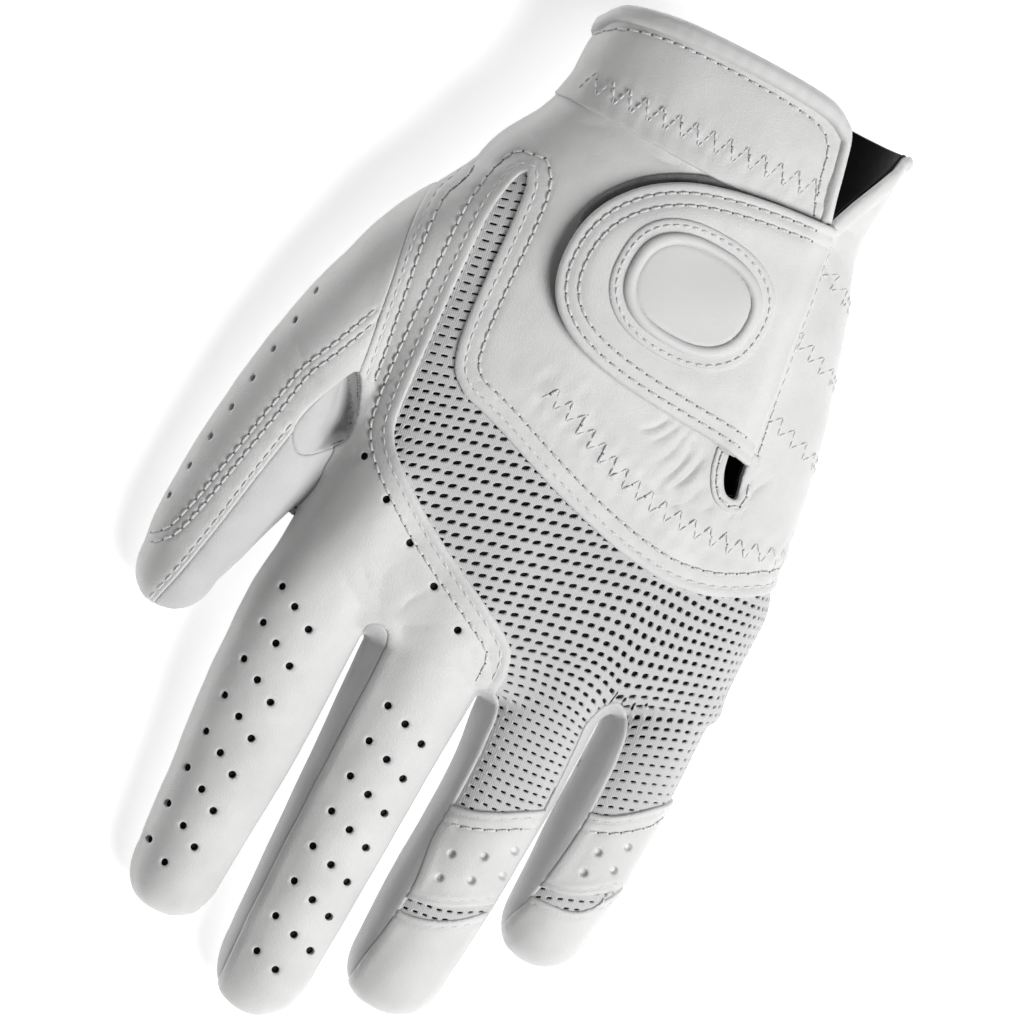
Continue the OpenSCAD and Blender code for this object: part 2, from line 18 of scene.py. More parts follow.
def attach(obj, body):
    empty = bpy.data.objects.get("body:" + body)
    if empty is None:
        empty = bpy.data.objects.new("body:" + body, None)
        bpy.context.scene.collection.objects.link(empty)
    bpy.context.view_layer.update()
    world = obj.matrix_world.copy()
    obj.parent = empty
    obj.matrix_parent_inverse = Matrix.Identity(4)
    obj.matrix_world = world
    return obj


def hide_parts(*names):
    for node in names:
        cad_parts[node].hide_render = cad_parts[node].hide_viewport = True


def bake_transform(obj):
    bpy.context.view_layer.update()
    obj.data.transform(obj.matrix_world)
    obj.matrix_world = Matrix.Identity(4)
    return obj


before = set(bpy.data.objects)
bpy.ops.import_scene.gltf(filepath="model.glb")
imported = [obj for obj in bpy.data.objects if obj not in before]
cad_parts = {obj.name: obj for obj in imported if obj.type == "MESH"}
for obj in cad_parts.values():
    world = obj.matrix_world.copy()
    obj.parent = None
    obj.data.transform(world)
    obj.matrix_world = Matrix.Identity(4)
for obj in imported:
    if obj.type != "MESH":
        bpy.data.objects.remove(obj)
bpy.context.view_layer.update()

bl_info = {
    "name": "Golf glove",
    "version": (1, 0, 0),
    "blender": (4, 5, 0),
    "location": "View3D > Sidebar > Glove",
    "description": "Builds a golf glove with its leather, mesh, stitching and closing tab",
    "category": "Add Mesh",
}

MM = 0.001
TILT = math.radians(20)
ACROSS = np.array([math.cos(TILT), 0.0, math.sin(TILT)])
OUTWARD = np.array([-math.sin(TILT), 0.0, math.cos(TILT)])
PLANE_Z = 20.0
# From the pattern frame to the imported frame
SHIFT = np.array([-1.58, 4.0, -0.9])

# The form's skin, in millimetres: the grid that finds it, the march down to it, and the steps round its
# side
GRID_LIMITS = ((-66, 70), (-118, 116), (-3, 44))
MARCH = np.linspace(42, -22, 33)
MARCH_STEP = 2.0
HALVINGS = 11
SIDE_STEP = 0.6

# Panels, in millimetres: how far round one its points are kept, how near the form counts as on it, the
# crown of its wall, its least thickness, the dimple round an air hole, and where the leather folded under
# along its edge runs out. Then heights of the linings and of the tab by its sewn edge, and the badge's power
NEAR = 2.2
ON_FORM = 0.4
PANEL_BULGE = 0.06
LEAST_THICKNESS = 0.25
DIMPLE = 0.16
DIMPLE_REACH = 0.5
TURNED_FROM, TURNED_TO = 1.5, 3.2
LINING_TOP = -1.2
ELASTIC_TOP = -1.56
TAB_ROOT = 1.9
OVAL_POWER = 2.4

# Knitting: shares of the way from a cell's border to its opening with the yarn's height there, then the
# yarn's thickness, the distance under which points join, and the longest side of a true cell
YARN = ((0.0, 0.0), (0.5, 0.07), (0.85, 0.02), (1.0, -0.14))
YARN_DEPTH = 0.35
JOIN = 0.03
LONGEST_SIDE = 2.2

# Stitching, in millimetres, and the share of the thread's radius that is left at a stitch's ends
ROW_GAP = 0.45
ZIGZAG_GAP = 0.3
STITCH_RISE = 0.34
STITCH_SINK = 0.16
STITCH_END = 0.55
# Radii of the dark lenses of painted shade at the needle holes, for single rows and for zigzags
NEEDLE_SHADE = 0.24
ZIGZAG_SHADE = 0.34

# The stage. Lights: name, kind, place in metres (across, up and outward of the view), size and power
FLOOR_HALF = 3.0
FLOOR_GLOW = 0.6
WORLD_STRENGTH = 0.08
SENSOR = 36.0
VIEW_WIDTH = 0.205
FAR_CLIP = 20.0
LIGHTS = (("key", "SUN", (0.66, -0.68, 0.68), math.radians(36), 2.15),
          ("near", "AREA", (0.42, -0.36, 0.4), 0.4, 2.2),
          ("top", "AREA", (0.1, 1.1, 0.7), 0.8, 1.5))


# ---------------------------------------------------------------- settings

class GloveSettings(bpy.types.PropertyGroup):
    """Sizes and colours that a user would change"""
    grid_step: bpy.props.FloatProperty(
        name="Grid step", description="Spacing of the surface points, in millimetres", default=1.4, min=0.5,
        max=3)
    tab_height: bpy.props.FloatProperty(
        name="Tab height", description="Height of the tab's face above the leather", default=0.0039,
        unit="LENGTH")
    stitch_pitch: bpy.props.FloatProperty(
        name="Stitch pitch", description="Length of one stitch with its gap", default=0.0023, unit="LENGTH")
    stitch_radius: bpy.props.FloatProperty(
        name="Thread radius", description="Radius of the sewing thread", default=0.00025, unit="LENGTH")
    hole_radius: bpy.props.FloatProperty(
        name="Air hole radius", description="Radius of the air holes in the leather", default=0.00082,
        unit="LENGTH")
    camera_turn: bpy.props.FloatProperty(
        name="Camera turn", description="Turn of the glove in the view", default=math.radians(28.6),
        unit="ROTATION")
    camera_distance: bpy.props.FloatProperty(
        name="Camera distance", description="Distance from the camera to the glove", default=1.6,
        unit="LENGTH")
    leather_colour: bpy.props.FloatVectorProperty(
        name="Leather colour", description="Colour of the panels", default=(0.665, 0.665, 0.66),
        subtype="COLOR")
    # A darker grey of the same leather, as painted shade on the strips between the fingers, the thumb's
    # underside and the gusset
    shaded_side_colour: bpy.props.FloatVectorProperty(
        name="Side colour", description="Colour of the strips between the fingers",
        default=(0.58, 0.58, 0.58), subtype="COLOR")
    mesh_colour: bpy.props.FloatVectorProperty(
        name="Mesh colour", description="Colour of the knitted mesh", default=(0.69, 0.69, 0.69),
        subtype="COLOR")
    thread_colour: bpy.props.FloatVectorProperty(
        name="Thread colour", description="Colour of the sewing thread", default=(0.74, 0.74, 0.735),
        subtype="COLOR")
    lining_colour: bpy.props.FloatVectorProperty(
        name="Lining colour", description="Colour of the lining", default=(0.012, 0.012, 0.013),
        subtype="COLOR")
    loop_colour: bpy.props.FloatVectorProperty(
        name="Loop colour", description="Colour of the loop patch", default=(0.20, 0.20, 0.205),
        subtype="COLOR")


def settings():
    """The glove's settings in this scene."""
    return bpy.context.scene.glove_settings


# ---------------------------------------------------------------- curves and outlines

def spline(points, steps=4, closed=False):
    """A smooth curve through the points: Catmull-Rom, with the given number of pieces to a span."""
    p = np.asarray(points, float)
    if closed:
        p = np.vstack([p[-1:], p, p[:2]])
    else:
        p = np.vstack([2 * p[:1] - p[1:2], p, 2 * p[-1:] - p[-2:-1]])
    u = np.arange(steps)[:, None] / steps
    a, b, c, d = (p[k:len(p) - 3 + k, None] for k in range(4))
    out = 0.5 * (2 * b + (c - a) * u + (2 * a - 5 * b + 4 * c - d) * u**2 + (3 * b - 3 * c + d - a) * u**3)
    out = out.reshape(-1, p.shape[1])
    return out if closed else np.vstack([out, p[-2]])


def lengths_along(path):
    """Length of a path up to each of its points."""
    return np.concatenate([[0], np.cumsum(np.linalg.norm(np.diff(path, axis=0), axis=1))])


def along(path, at):
    """Points of a path at the given lengths along it."""
    total = lengths_along(path)
    return np.stack([np.interp(at, total, path[:, k]) for k in range(path.shape[1])], 1)


def beside(path, by):
    """The path moved sideways, to its right for a positive distance."""
    step = np.gradient(path, axis=0)
    step /= np.linalg.norm(step, axis=1)[:, None] + 1e-9
    return path + by * np.stack([step[:, 1], -step[:, 0]], 1)


def segment_distance(q, a, b):
    """Distance of each point from a segment, and how far along it the nearest point lies."""
    ab = b - a
    h = np.clip((q - a) @ ab / (ab @ ab + 1e-12), 0, 1)
    return np.linalg.norm(q - a - h[:, None] * ab, axis=1), h


def path_distance(q, path):
    """Distance of each point from a path."""
    d = np.full(len(q), 1e9)
    for a, b in zip(path[:-1], path[1:]):
        d = np.minimum(d, segment_distance(q, a, b)[0])
    return d


def outline_distance(q, outline):
    """Distance of each point from a closed outline, negative inside it."""
    outline = np.asarray(outline, float)
    inside = np.zeros(len(q), bool)
    for a, b in zip(outline, np.roll(outline, -1, 0)):
        crosses = (a[1] > q[:, 1]) != (b[1] > q[:, 1])
        dy = b[1] - a[1] if b[1] != a[1] else 1e-12
        inside ^= crosses & (q[:, 0] < (b[0] - a[0]) * (q[:, 1] - a[1]) / dy + a[0])
    d = path_distance(q, np.vstack([outline, outline[:1]]))
    return np.where(inside, -d, d)


def smoothstep(x, lo, hi):
    """From 0 to 1 between two values, level at both: 3k^2 - 2k^3."""
    k = np.clip((x - lo) / (hi - lo), 0, 1)
    return k * k * (3 - 2 * k)


# ---------------------------------------------------------------- the hand form

# Stations: t, left and right edge on the pattern plane, height of the middle, half height
STATIONS = {
    "hand": [(112, -28.6, 38.4, 21.6, 18.5), (95, -29.4, 37.8, 21.2, 17.8), (82, -30.2, 37.3, 20.5, 17.3),
             (70, -34.5, 42, 19.8, 17.6), (58, -38.8, 46, 19.2, 18), (42, -41, 50.6, 18.8, 17.8),
             (25, -40, 54, 18.5, 17), (8, -36.8, 55.8, 18.2, 15.5), (-8, -34.6, 57, 17.8, 13.8),
             (-16, -34.8, 57.4, 17.4, 12.8), (-22, -35, 41, 16.8, 11.8), (-29, -34, 32, 16, 10.4)],
    "index": [(0, -34, -12, 18, 12.5), (-12, -34.3, -12.5, 17.5, 12), (-30, -37, -13.4, 16.2, 10.6),
              (-40, -37.4, -13.3, 15.2, 10), (-60, -36, -13, 13, 9.4), (-80, -34, -13.9, 11, 9),
              (-91, -32.7, -14.4, 10, 8.7)],
    "middle": [(0, -12.5, 13, 18.5, 12.6), (-12, -12.5, 13, 18, 12.3), (-32, -12.7, 12.6, 16.8, 10.8),
               (-45, -12, 12.2, 15.5, 10.1), (-60, -11, 11.7, 14, 9.6), (-80, -9.8, 11.3, 12, 9.2),
               (-98, -8.6, 10.8, 10.2, 8.8)],
    "ring": [(0, 13, 37, 18, 12.4), (-8, 13, 37, 17.5, 12), (-32, 13, 37, 15.8, 10.5),
             (-45, 14.5, 37, 14.5, 9.8), (-60, 14.9, 36.7, 13, 9.3), (-75, 14.5, 36, 11.5, 9),
             (-88, 14.8, 35, 10.3, 8.6)],
    "little": [(6, 36, 57.3, 16, 12.4), (0, 36, 57.3, 15.5, 12), (-22, 37, 57.8, 14, 10),
               (-38, 37.5, 58.3, 12.5, 9), (-55, 37.9, 57.8, 11, 8.6), (-66, 38.3, 56.8, 10, 8.2)],
    "thumb": [(62, -38, -18, 17, 12), (45, -48.3, -24, 15, 13), (30, -53.5, -29, 13.5, 12.5),
              (15, -57.3, -33.5, 12.5, 11.8), (0, -59.6, -35.2, 11.8, 11), (-15, -60.8, -37.5, 11, 10.2),
              (-30, -61.3, -41.3, 10.5, 9.6), (-38, -60.3, -43.8, 10.2, 9.2)],
}
TIP = {"hand": 4, "index": 11, "middle": 14, "ring": 11.3, "little": 10.5, "thumb": 9.5}
SQUARE = {"hand": 2.5, "index": 2.25, "middle": 2.25, "ring": 2.25, "little": 2.25, "thumb": 2.2}
FINGERS = ("index", "middle", "ring", "little")


def tube_tables():
    """Each tube's stations, with eight steps between two of them, as centres and half widths."""
    tables = {}
    for name, rows in STATIONS.items():
        n = SQUARE[name]
        m = n / (n - 1)
        rows = spline(np.array(rows, float)[::-1], 8)
        t, left, right, z, b = rows.T
        flat = np.maximum(((right - left) / 2) ** m - (b * math.sin(TILT)) ** m, 1)
        a = flat ** (1 / m) / math.cos(TILT)
        x = ((left + right) / 2 - (z - PLANE_Z) * math.sin(TILT)) / math.cos(TILT)
        tables[name] = (t, x, z, a, b)
    return tables


TUBES = tube_tables()


def tube_at(name, t):
    """A tube's centre and half widths at places along it: x, z, a and b."""
    table = TUBES[name]
    return [np.interp(t, table[0], table[k]) for k in (1, 2, 3, 4)]


def tube_distance(name, x, y, z):
    """About the distance outside one tube: past its ends the section shrinks as a superellipsoid does."""
    cx, cz, a, b = tube_at(name, y)
    first, last = TUBES[name][0][-1], TUBES[name][0][0]
    over = np.maximum(last - y, 0)
    back = np.maximum(y - first, 0)
    n = SQUARE[name]
    cap = over / TIP[name] + back / (3 if name == "hand" else 10)
    f = (np.abs((x - cx) / a) ** n + np.abs((z - cz) / b) ** n + cap ** n) ** (1 / n)
    r = np.sqrt((x - cx) ** 2 + (z - cz) ** 2 + (over + back) ** 2)
    return (f - 1) * r / np.maximum(f, 0.3)


def melt(a, b, k):
    """The smaller of two distances, with the corner between them rounded over k."""
    h = np.maximum(k - np.abs(a - b), 0) / k
    return np.minimum(a, b) - h * h * k / 4


def form_distance(x, y, z):
    """Distance outside the hand form: the fingers, melted into the hand and the thumb."""
    d = tube_distance("index", x, y, z)
    for name in FINGERS[1:]:
        d = melt(d, tube_distance(name, x, y, z), 0.5)
    d = melt(d, tube_distance("hand", x, y, z), 3.0)
    return melt(d, tube_distance("thumb", x, y, z), 5.0)


def distance(p):
    """Distance of points outside the hand form."""
    return form_distance(p[:, 0], p[:, 1], p[:, 2])


def slope(p, e=0.06):
    """Gradient of the distance, by central differences."""
    return np.stack([(distance(p + e * k) - distance(p - e * k)) / (2 * e) for k in np.eye(3)], 1)


def normals_at(p):
    """Outward directions at points: the gradient of the distance, made of length one."""
    g = slope(p, 0.25)
    return g / np.linalg.norm(g, axis=1)[:, None]


def settle(p, rounds=3):
    """Moves points onto the form's skin, by Newton's steps along the gradient."""
    for _ in range(rounds):
        g = slope(p)
        p = p - (distance(p) / np.maximum((g * g).sum(1), 0.05))[:, None] * g
    return p


def iso_surface(step):
    """The form's skin as triangles, by surface nets: one point in each grid cell that the skin
    crosses, at the mean of its edge crossings, and one quad about each crossed grid edge."""
    axes = [np.arange(lo, hi, step) for lo, hi in GRID_LIMITS]
    x, y, z = np.meshgrid(*axes, indexing="ij", sparse=True)
    d = form_distance(x, y, z)
    inside = d < 0
    corners = np.array([(i, j, k) for i in (0, 1) for j in (0, 1) for k in (0, 1)])
    cell = [slice(0, n - 1) for n in d.shape]
    count = sum(inside[tuple(slice(c, n - 1 + c) for c, n in zip(o, d.shape))].astype(int) for o in corners)
    active = (count > 0) & (count < 8)
    index = np.argwhere(active)
    ids = np.full(active.shape, -1)
    ids[tuple(index.T)] = np.arange(len(index))
    total, hits = np.zeros((len(index), 3)), np.zeros(len(index))
    for a in corners:
        for axis in range(3):
            if a[axis]:
                continue
            b = a.copy()
            b[axis] = 1
            da, db = d[tuple((index + a).T)], d[tuple((index + b).T)]
            cross = (da < 0) != (db < 0)
            k = np.where(cross, da / np.where(cross, da - db, 1), 0)
            total += np.where(cross[:, None], a + np.outer(k, b - a), 0)
            hits += cross
    points = np.array([ax[0] for ax in axes]) + step * (index + total / hits[:, None])
    quads = []
    for axis in range(3):
        e = np.eye(3, dtype=int)[axis]
        f, g = np.eye(3, dtype=int)[(axis + 1) % 3], np.eye(3, dtype=int)[(axis + 2) % 3]
        start = [slice(1, n - 1) for n in d.shape]
        ahead = [slice(1 + e[k], n - 1 + e[k]) for k, n in enumerate(d.shape)]
        here, there = inside[tuple(start)], inside[tuple(ahead)]
        for out, keep in ((True, here & ~there), (False, ~here & there)):
            q = np.argwhere(keep) + 1
            ring = [q - f - g, q - g, q, q - f]
            face = np.stack([ids[tuple(r.T)] for r in ring], 1)
            quads.append(face if out else face[:, ::-1])
    quads = np.vstack(quads)
    return points, np.vstack([quads[:, [0, 1, 2]], quads[:, [0, 2, 3]]])


# ---------------------------------------------------------------- the pattern plane

def pattern(p):
    """Places of points on the pattern plane, seen straight on."""
    return np.stack([p @ ACROSS - PLANE_Z * math.sin(TILT), p[:, 1]], 1)


def edge_s(t):
    """Where the little finger's side turns out of sight, on the pattern plane."""
    hand = np.interp(t, [r[0] for r in STATIONS["hand"][::-1]], [r[2] for r in STATIONS["hand"][::-1]])
    little = np.interp(t, [r[0] for r in STATIONS["little"][::-1]], [r[2] for r in STATIONS["little"][::-1]])
    return np.where(t > -10, hand, little) - 1.5


def plane_point(s, t):
    """Points of the pattern plane at its places."""
    return np.stack([s * ACROSS[0], t, PLANE_Z + s * ACROSS[2]], 1)


def top_skin(s, t):
    """The form's upper skin over places on the pattern plane, by a march down and then halving."""
    base = plane_point(s, t)
    best, found = np.full(len(s), MARCH[-1]), np.zeros(len(s), bool)
    for w in MARCH:
        inside = ~found & (distance(base + w * OUTWARD) < 0)
        best[inside] = w
        found |= inside
    lo, hi = best, best + MARCH_STEP
    for _ in range(HALVINGS):
        mid = (lo + hi) / 2
        inside = distance(base + mid[:, None] * OUTWARD) < 0
        lo, hi = np.where(inside, mid, lo), np.where(inside, hi, mid)
    return base + lo[:, None] * OUTWARD


def skin(q):
    """The form's skin at pattern places. Past edge_s, s runs on round the little finger's side."""
    q = np.asarray(q, float)
    edge = edge_s(q[:, 1])
    p = top_skin(np.minimum(q[:, 0], edge), q[:, 1])
    rest = np.maximum(q[:, 0] - edge, 0)
    over = np.flatnonzero(rest > 0)
    steps = int(rest.max() / SIDE_STEP) + 1 if len(over) else 0
    for _ in range(steps):
        n = normals_at(p[over])
        n[:, 1] = 0
        n /= np.linalg.norm(n, axis=1)[:, None]
        p[over] += (rest[over] / steps)[:, None] * np.stack([n[:, 2], 0 * n[:, 0], -n[:, 0]], 1)
        p[over] -= distance(p[over])[:, None] * n
    return p


def wrapped(p):
    """Pattern places of points on the skin, the other way round from skin()."""
    q = pattern(p)
    t = np.arange(-80, 113, 2.0)
    turn = top_skin(edge_s(t), t)
    at = np.stack([np.interp(p[:, 1], t, turn[:, k]) for k in range(3)], 1)
    w = p @ OUTWARD
    low = (w < at @ OUTWARD) & (p[:, 0] > at[:, 0] - 9) & (p[:, 1] > -80)
    low &= (p[:, 0] > 41) | (p[:, 1] > -14)
    down = np.linalg.norm((p - at)[:, [0, 2]], axis=1) * 1.04
    q[low, 0] = edge_s(p[low, 1]) + down[low]
    return q


PALM_SEAM = np.array([(-125, 5.5), (-100, 6.5), (-60, 9.5), (-30, 12), (0, 14), (60, 15), (125, 17)], float)


def below_seam(p):
    """Height above the seam between back and palm: negative on the palm side."""
    return p[:, 2] - np.interp(p[:, 1], PALM_SEAM[:, 0], PALM_SEAM[:, 1])


def upper_side(p):
    """Negative on the side that the pattern plane looks at, where the slit and the tab are."""
    return -(p @ OUTWARD - PLANE_Z * math.cos(TILT) + 4)


# ---------------------------------------------------------------- outlines of the pattern pieces

BINDING = 3.2
FAR_LEFT = -120.0
THUMB_SEAM = spline([(-50, 66), (-42, 60), (-43.8, 52), (-43.3, 42), (-41.2, 30), (-39.4, 19), (-38.4, 12)])
THUMB_CLEFT = spline([(-38.4, 12), (-38.8, 4), (-35.7, -3), (-35.6, -7.5), (-35.4, -12), (-37, -18),
                      (-38.8, -24), (-40.5, -36), (-42, -52)])
THUMB_SPLIT = spline([(-44.2, -3), (-46.5, -16), (-48.8, -30), (-50.8, -40), (-52.6, -47), (-53.4, -52)])
GUSSET = spline([(-38.6, 12.4), (-41.5, 7.5), (-44.2, 0), (-44.2, -5), (-41, -7.6), (-37, -5), (-34.3, 0),
                 (-35.3, 6.4)], closed=True)
STRIP_RIGHT = spline([(-28.3, 63.2), (-26.9, 60), (-26, 52), (-25.4, 42), (-24.6, 32), (-23.6, 26),
                      (-21.8, 21.5), (-18, 18.4)])
MESH_UPPER = spline([(-18, 18.4), (-10, 16.2), (0, 12.7), (10, 9.4), (20, 6.8), (28, 5.4), (36, 5), (44, 6.6),
                     (50, 9.4), (56, 13), (64, 15), (85, 15)])
MESH_LOWER = spline([(15.8, -31.5), (15.9, -27), (15, -23), (12, -19.8), (5, -16), (-4, -11.5), (-12, -7),
                     (-20, -1.5), (-24.5, 2), (-27, 5.5), (-28, 9.5)])
STRIP_LEFT = spline([(-28, 9.5), (-28.6, 15), (-29.6, 28), (-30.5, 42), (-31, 52), (-30.5, 58), (-29.5, 61.8),
                     (-28.3, 63.2)])
INSERT = np.vstack([STRIP_RIGHT, MESH_UPPER, [(85, -80), (15.8, -80)], MESH_LOWER, STRIP_LEFT])
INDEX_RIGHT = spline([(-13.6, -33.5), (-13.6, -46), (-13.4, -60), (-13.6, -80), (-14.5, -95), (-15, -108)])
MIDDLE_LEFT = spline([(-7.8, -33), (-7.6, -40), (-7.3, -60), (-7, -75), (-6.5, -90), (-5.8, -103),
                      (-5.2, -118)])
MIDDLE_RIGHT = spline([(11.8, -33), (11.8, -45), (11.9, -60), (11.6, -80), (11, -98), (10.5, -118)])
RING_LEFT = spline([(18.4, -37), (18.9, -45), (19, -55), (18.9, -63), (19.8, -70), (19.9, -76), (19, -85),
                    (18, -92), (17, -104)])
RING_RIGHT = spline([(35.2, -28), (36, -40), (36.4, -60), (36, -75), (35, -88), (33.5, -104)])
LITTLE_LEFT = spline([(44.2, -33), (44.5, -43), (44, -52), (43, -60), (41.8, -66), (40.2, -71), (39, -82)])
CROTCH_IM = spline([(-13.6, -33.5), (-13.4, -31.4), (-12.3, -30.1), (-10.5, -29.7), (-8.8, -30.6),
                    (-7.8, -33)])
CROTCH_MR = spline([(11.8, -33), (12.4, -31.9), (14, -31.2), (16, -31.6), (17.6, -33.5), (18.4, -37)])
CROTCH_RL = spline([(35.2, -28), (36.5, -23.5), (38.7, -21.3), (41.5, -23), (43.3, -27), (44.2, -33)])
GAPS = {"index_middle": np.vstack([CROTCH_IM, MIDDLE_LEFT, INDEX_RIGHT[::-1]]),
        "middle_ring": np.vstack([CROTCH_MR, RING_LEFT, MIDDLE_RIGHT[::-1]]),
        "ring_little": np.vstack([CROTCH_RL, LITTLE_LEFT, RING_RIGHT[::-1]])}
RING_BAND_TOP = spline([(14.5, -56.6), (19, -55.2), (23, -54.2), (28, -52), (32, -49.6), (35, -47.8),
                        (40, -44.6)])
RING_BAND_LOW = spline([(10, -77), (19.8, -76), (24, -75.2), (28, -73.8), (32, -71.6), (35.5, -69.3),
                        (40, -66)])
RING_CAP_TOP = spline([(10, -79.5), (20.3, -79), (23, -78.7), (27, -77.5), (31, -75.3), (34, -72.8),
                       (40, -67)])
LITTLE_BAND_TOP = spline([(38, -44.7), (44, -43.5), (48, -42.3), (52, -39.6), (55, -37), (57.5, -35),
                          (64, -33), (80, -32)])
LITTLE_BAND_LOW = spline([(38, -62.3), (44.5, -61.2), (48, -60.5), (52, -58.6), (55, -56.2), (57.5, -54.5),
                          (64, -53), (80, -52)])
LITTLE_CAP_TOP = spline([(38, -64.5), (43.5, -64), (46, -63.8), (50, -63.3), (53, -61.8), (56, -58.5),
                         (59, -55.5), (64, -53.4), (80, -52.2)])
TAB_EDGE = spline([(30.5, 83.3), (20, 82), (10, 80), (1, 77), (-6, 72.5), (-10.8, 67), (-13.5, 61.5),
                   (-14.5, 56), (-14.2, 50), (-12.4, 45), (-9.4, 41.4), (-5, 38.6), (1, 36.6), (9, 35.3),
                   (20, 34.6), (30, 34.2), (38, 33.2)])
BAND_END = spline([(20, 105.2), (23, 103.2), (25, 100), (26.4, 95), (28, 88.5), (29.4, 83.6)])
BAND_LOW = spline([(-80, 80), (-29, 80), (5, 80), (18, 81.7), (29.4, 83.6)])
WING_EDGE = spline([(30, 83.6), (32.2, 89.5), (35, 96), (37.2, 101.5), (38.4, 106)])
KEYHOLE = spline([(33.8, 33.5), (34.5, 30.5), (35.8, 27.7), (37.4, 26.1), (39.5, 26.2), (39.2, 28.4),
                  (38.5, 30.6), (38, 33.5)])
SLIT = spline([(35.4, 33), (34.2, 42), (32.4, 58), (30, 72), (29.2, 78), (29, 84.5)])
BAND = np.vstack([BAND_LOW, BAND_END[::-1], [(-80, 105.2)]])
SLIT_SHAPE = np.vstack([SLIT, [(30, 84)], (SLIT + [1.2, 0])[::-1]])
MOUTH = np.vstack([BAND_END, WING_EDGE, [(38.4, 125), (15, 125)]])
THUMB = np.vstack([[(FAR_LEFT, 66)], THUMB_SEAM, THUMB_CLEFT, [(-42, -90), (FAR_LEFT, -90)]])
THUMB_FRONT = np.vstack([[(-25, -3)], THUMB_SPLIT, [(-53.4, -90), (-25, -90)]])
BADGE_CENTRE = (10.8, 57.5)
BADGE_SIZE = (27.0, 22.0)


def shape(outline):
    """Inside a closed outline. A field takes points and their places, and is negative inside."""
    return lambda p, q: outline_distance(q, outline)


def both(*fields):
    """Inside all of the fields."""
    return lambda p, q: np.max([f(p, q) for f in fields], axis=0)


def either(*fields):
    """Inside one of the fields at least."""
    return lambda p, q: np.min([f(p, q) for f in fields], axis=0)


def less(field, *cuts):
    """Inside the first field and outside the others."""
    return lambda p, q: np.maximum(field(p, q), -np.min([c(p, q) for c in cuts], axis=0))


def grown(field, by):
    """A field with its edge moved outwards."""
    return lambda p, q: field(p, q) - by


def above(p, q):
    """Inside on the back of the hand, above the seam."""
    return -below_seam(p)


def below(p, q):
    """Inside on the palm side, below the seam."""
    return below_seam(p)


def on_top(field):
    """Inside a field on the side that the pattern plane looks at."""
    return lambda p, q: np.maximum(field(p, q), upper_side(p))


def finger_side(name, gap):
    """The wall of a finger that faces the little finger: less than about 35 degrees up its section."""
    def field(p, q):
        x, z, a, b = tube_at(name, p[:, 1])
        angle = np.arctan2((p[:, 2] - z) / b, (p[:, 0] - x) / a)
        nearest = np.abs((p[:, 0] - x) / a)
        wall = np.maximum((angle - 0.62) * b, (-1.5 - angle) * b)
        gap_x = np.interp(p[:, 1], gap[::-1, 1], gap[::-1, 0])
        root = p[:, 1] - gap[0, 1]
        tip = (TUBES[name][0][0] - 0.55 * TIP[name]) - p[:, 1]
        return np.max([wall, root, p[:, 0] - gap_x, (0.2 - nearest) * a, tip], axis=0)
    return field


INDEX_GAP = np.array([(-12.9, -32), (-12.6, -33.5), (-11, -45), (-10.4, -60), (-9.6, -80), (-9.6, -106)],
                     float)
MIDDLE_GAP = np.array([(15, -32), (15.1, -33.5), (16, -45), (16.6, -60), (16.8, -80), (17, -116)], float)
RING_GAP = np.array([(42.5, -24), (42, -31), (42, -45), (42.5, -60), (43, -75), (43, -102)], float)
WALLS = {"index_middle": finger_side("index", INDEX_GAP), "middle_ring": finger_side("middle", MIDDLE_GAP),
         "ring_little": finger_side("ring", RING_GAP)}


def side_strip(name):
    """Inside the strip between two fingers, on the back: the gap between them, or the wall of the first."""
    return both(either(shape(GAPS[name]), WALLS[name]), above)


SIDES = either(*[side_strip(name) for name in GAPS])
GUSSET_FIELD = shape(GUSSET)
THUMB_FIELD = shape(THUMB)
SLIT_FIELD = on_top(either(shape(SLIT_SHAPE), shape(KEYHOLE), shape(MOUTH)))
BELOW_RING_BAND = shape(np.vstack([RING_BAND_TOP, [(40, -120), (14.5, -120)]]))
BELOW_RING_FLEX, BELOW_RING_CAP = (shape(np.vstack([line, [(40, -120), (10, -120)]]))
                                   for line in (RING_BAND_LOW, RING_CAP_TOP))
BELOW_LITTLE_BAND = shape(np.vstack([LITTLE_BAND_TOP, [(95, -32), (95, -120), (38, -120)]]))
BELOW_LITTLE_FLEX, BELOW_LITTLE_CAP = (shape(np.vstack([line, [(95, -52), (95, -120), (38, -120)]]))
                                       for line in (LITTLE_BAND_LOW, LITTLE_CAP_TOP))
INSERT_FIELD = shape(INSERT)


def back_field(p, q):
    """Inside the back leather: all of the back that no other piece has."""
    field = less(above, THUMB_FIELD, GUSSET_FIELD, past_cuff(0.4 - BINDING), SIDES, INSERT_FIELD,
                 BELOW_RING_BAND, BELOW_LITTLE_BAND, SLIT_FIELD)
    return field(p, q)


def palm_field(p, q):
    """Inside the palm leather: all below the seam but the thumb, the gusset and the cuff's binding."""
    return less(below, THUMB_FIELD, GUSSET_FIELD, past_cuff(0.4 - BINDING))(p, q)


# ---------------------------------------------------------------- surfaces

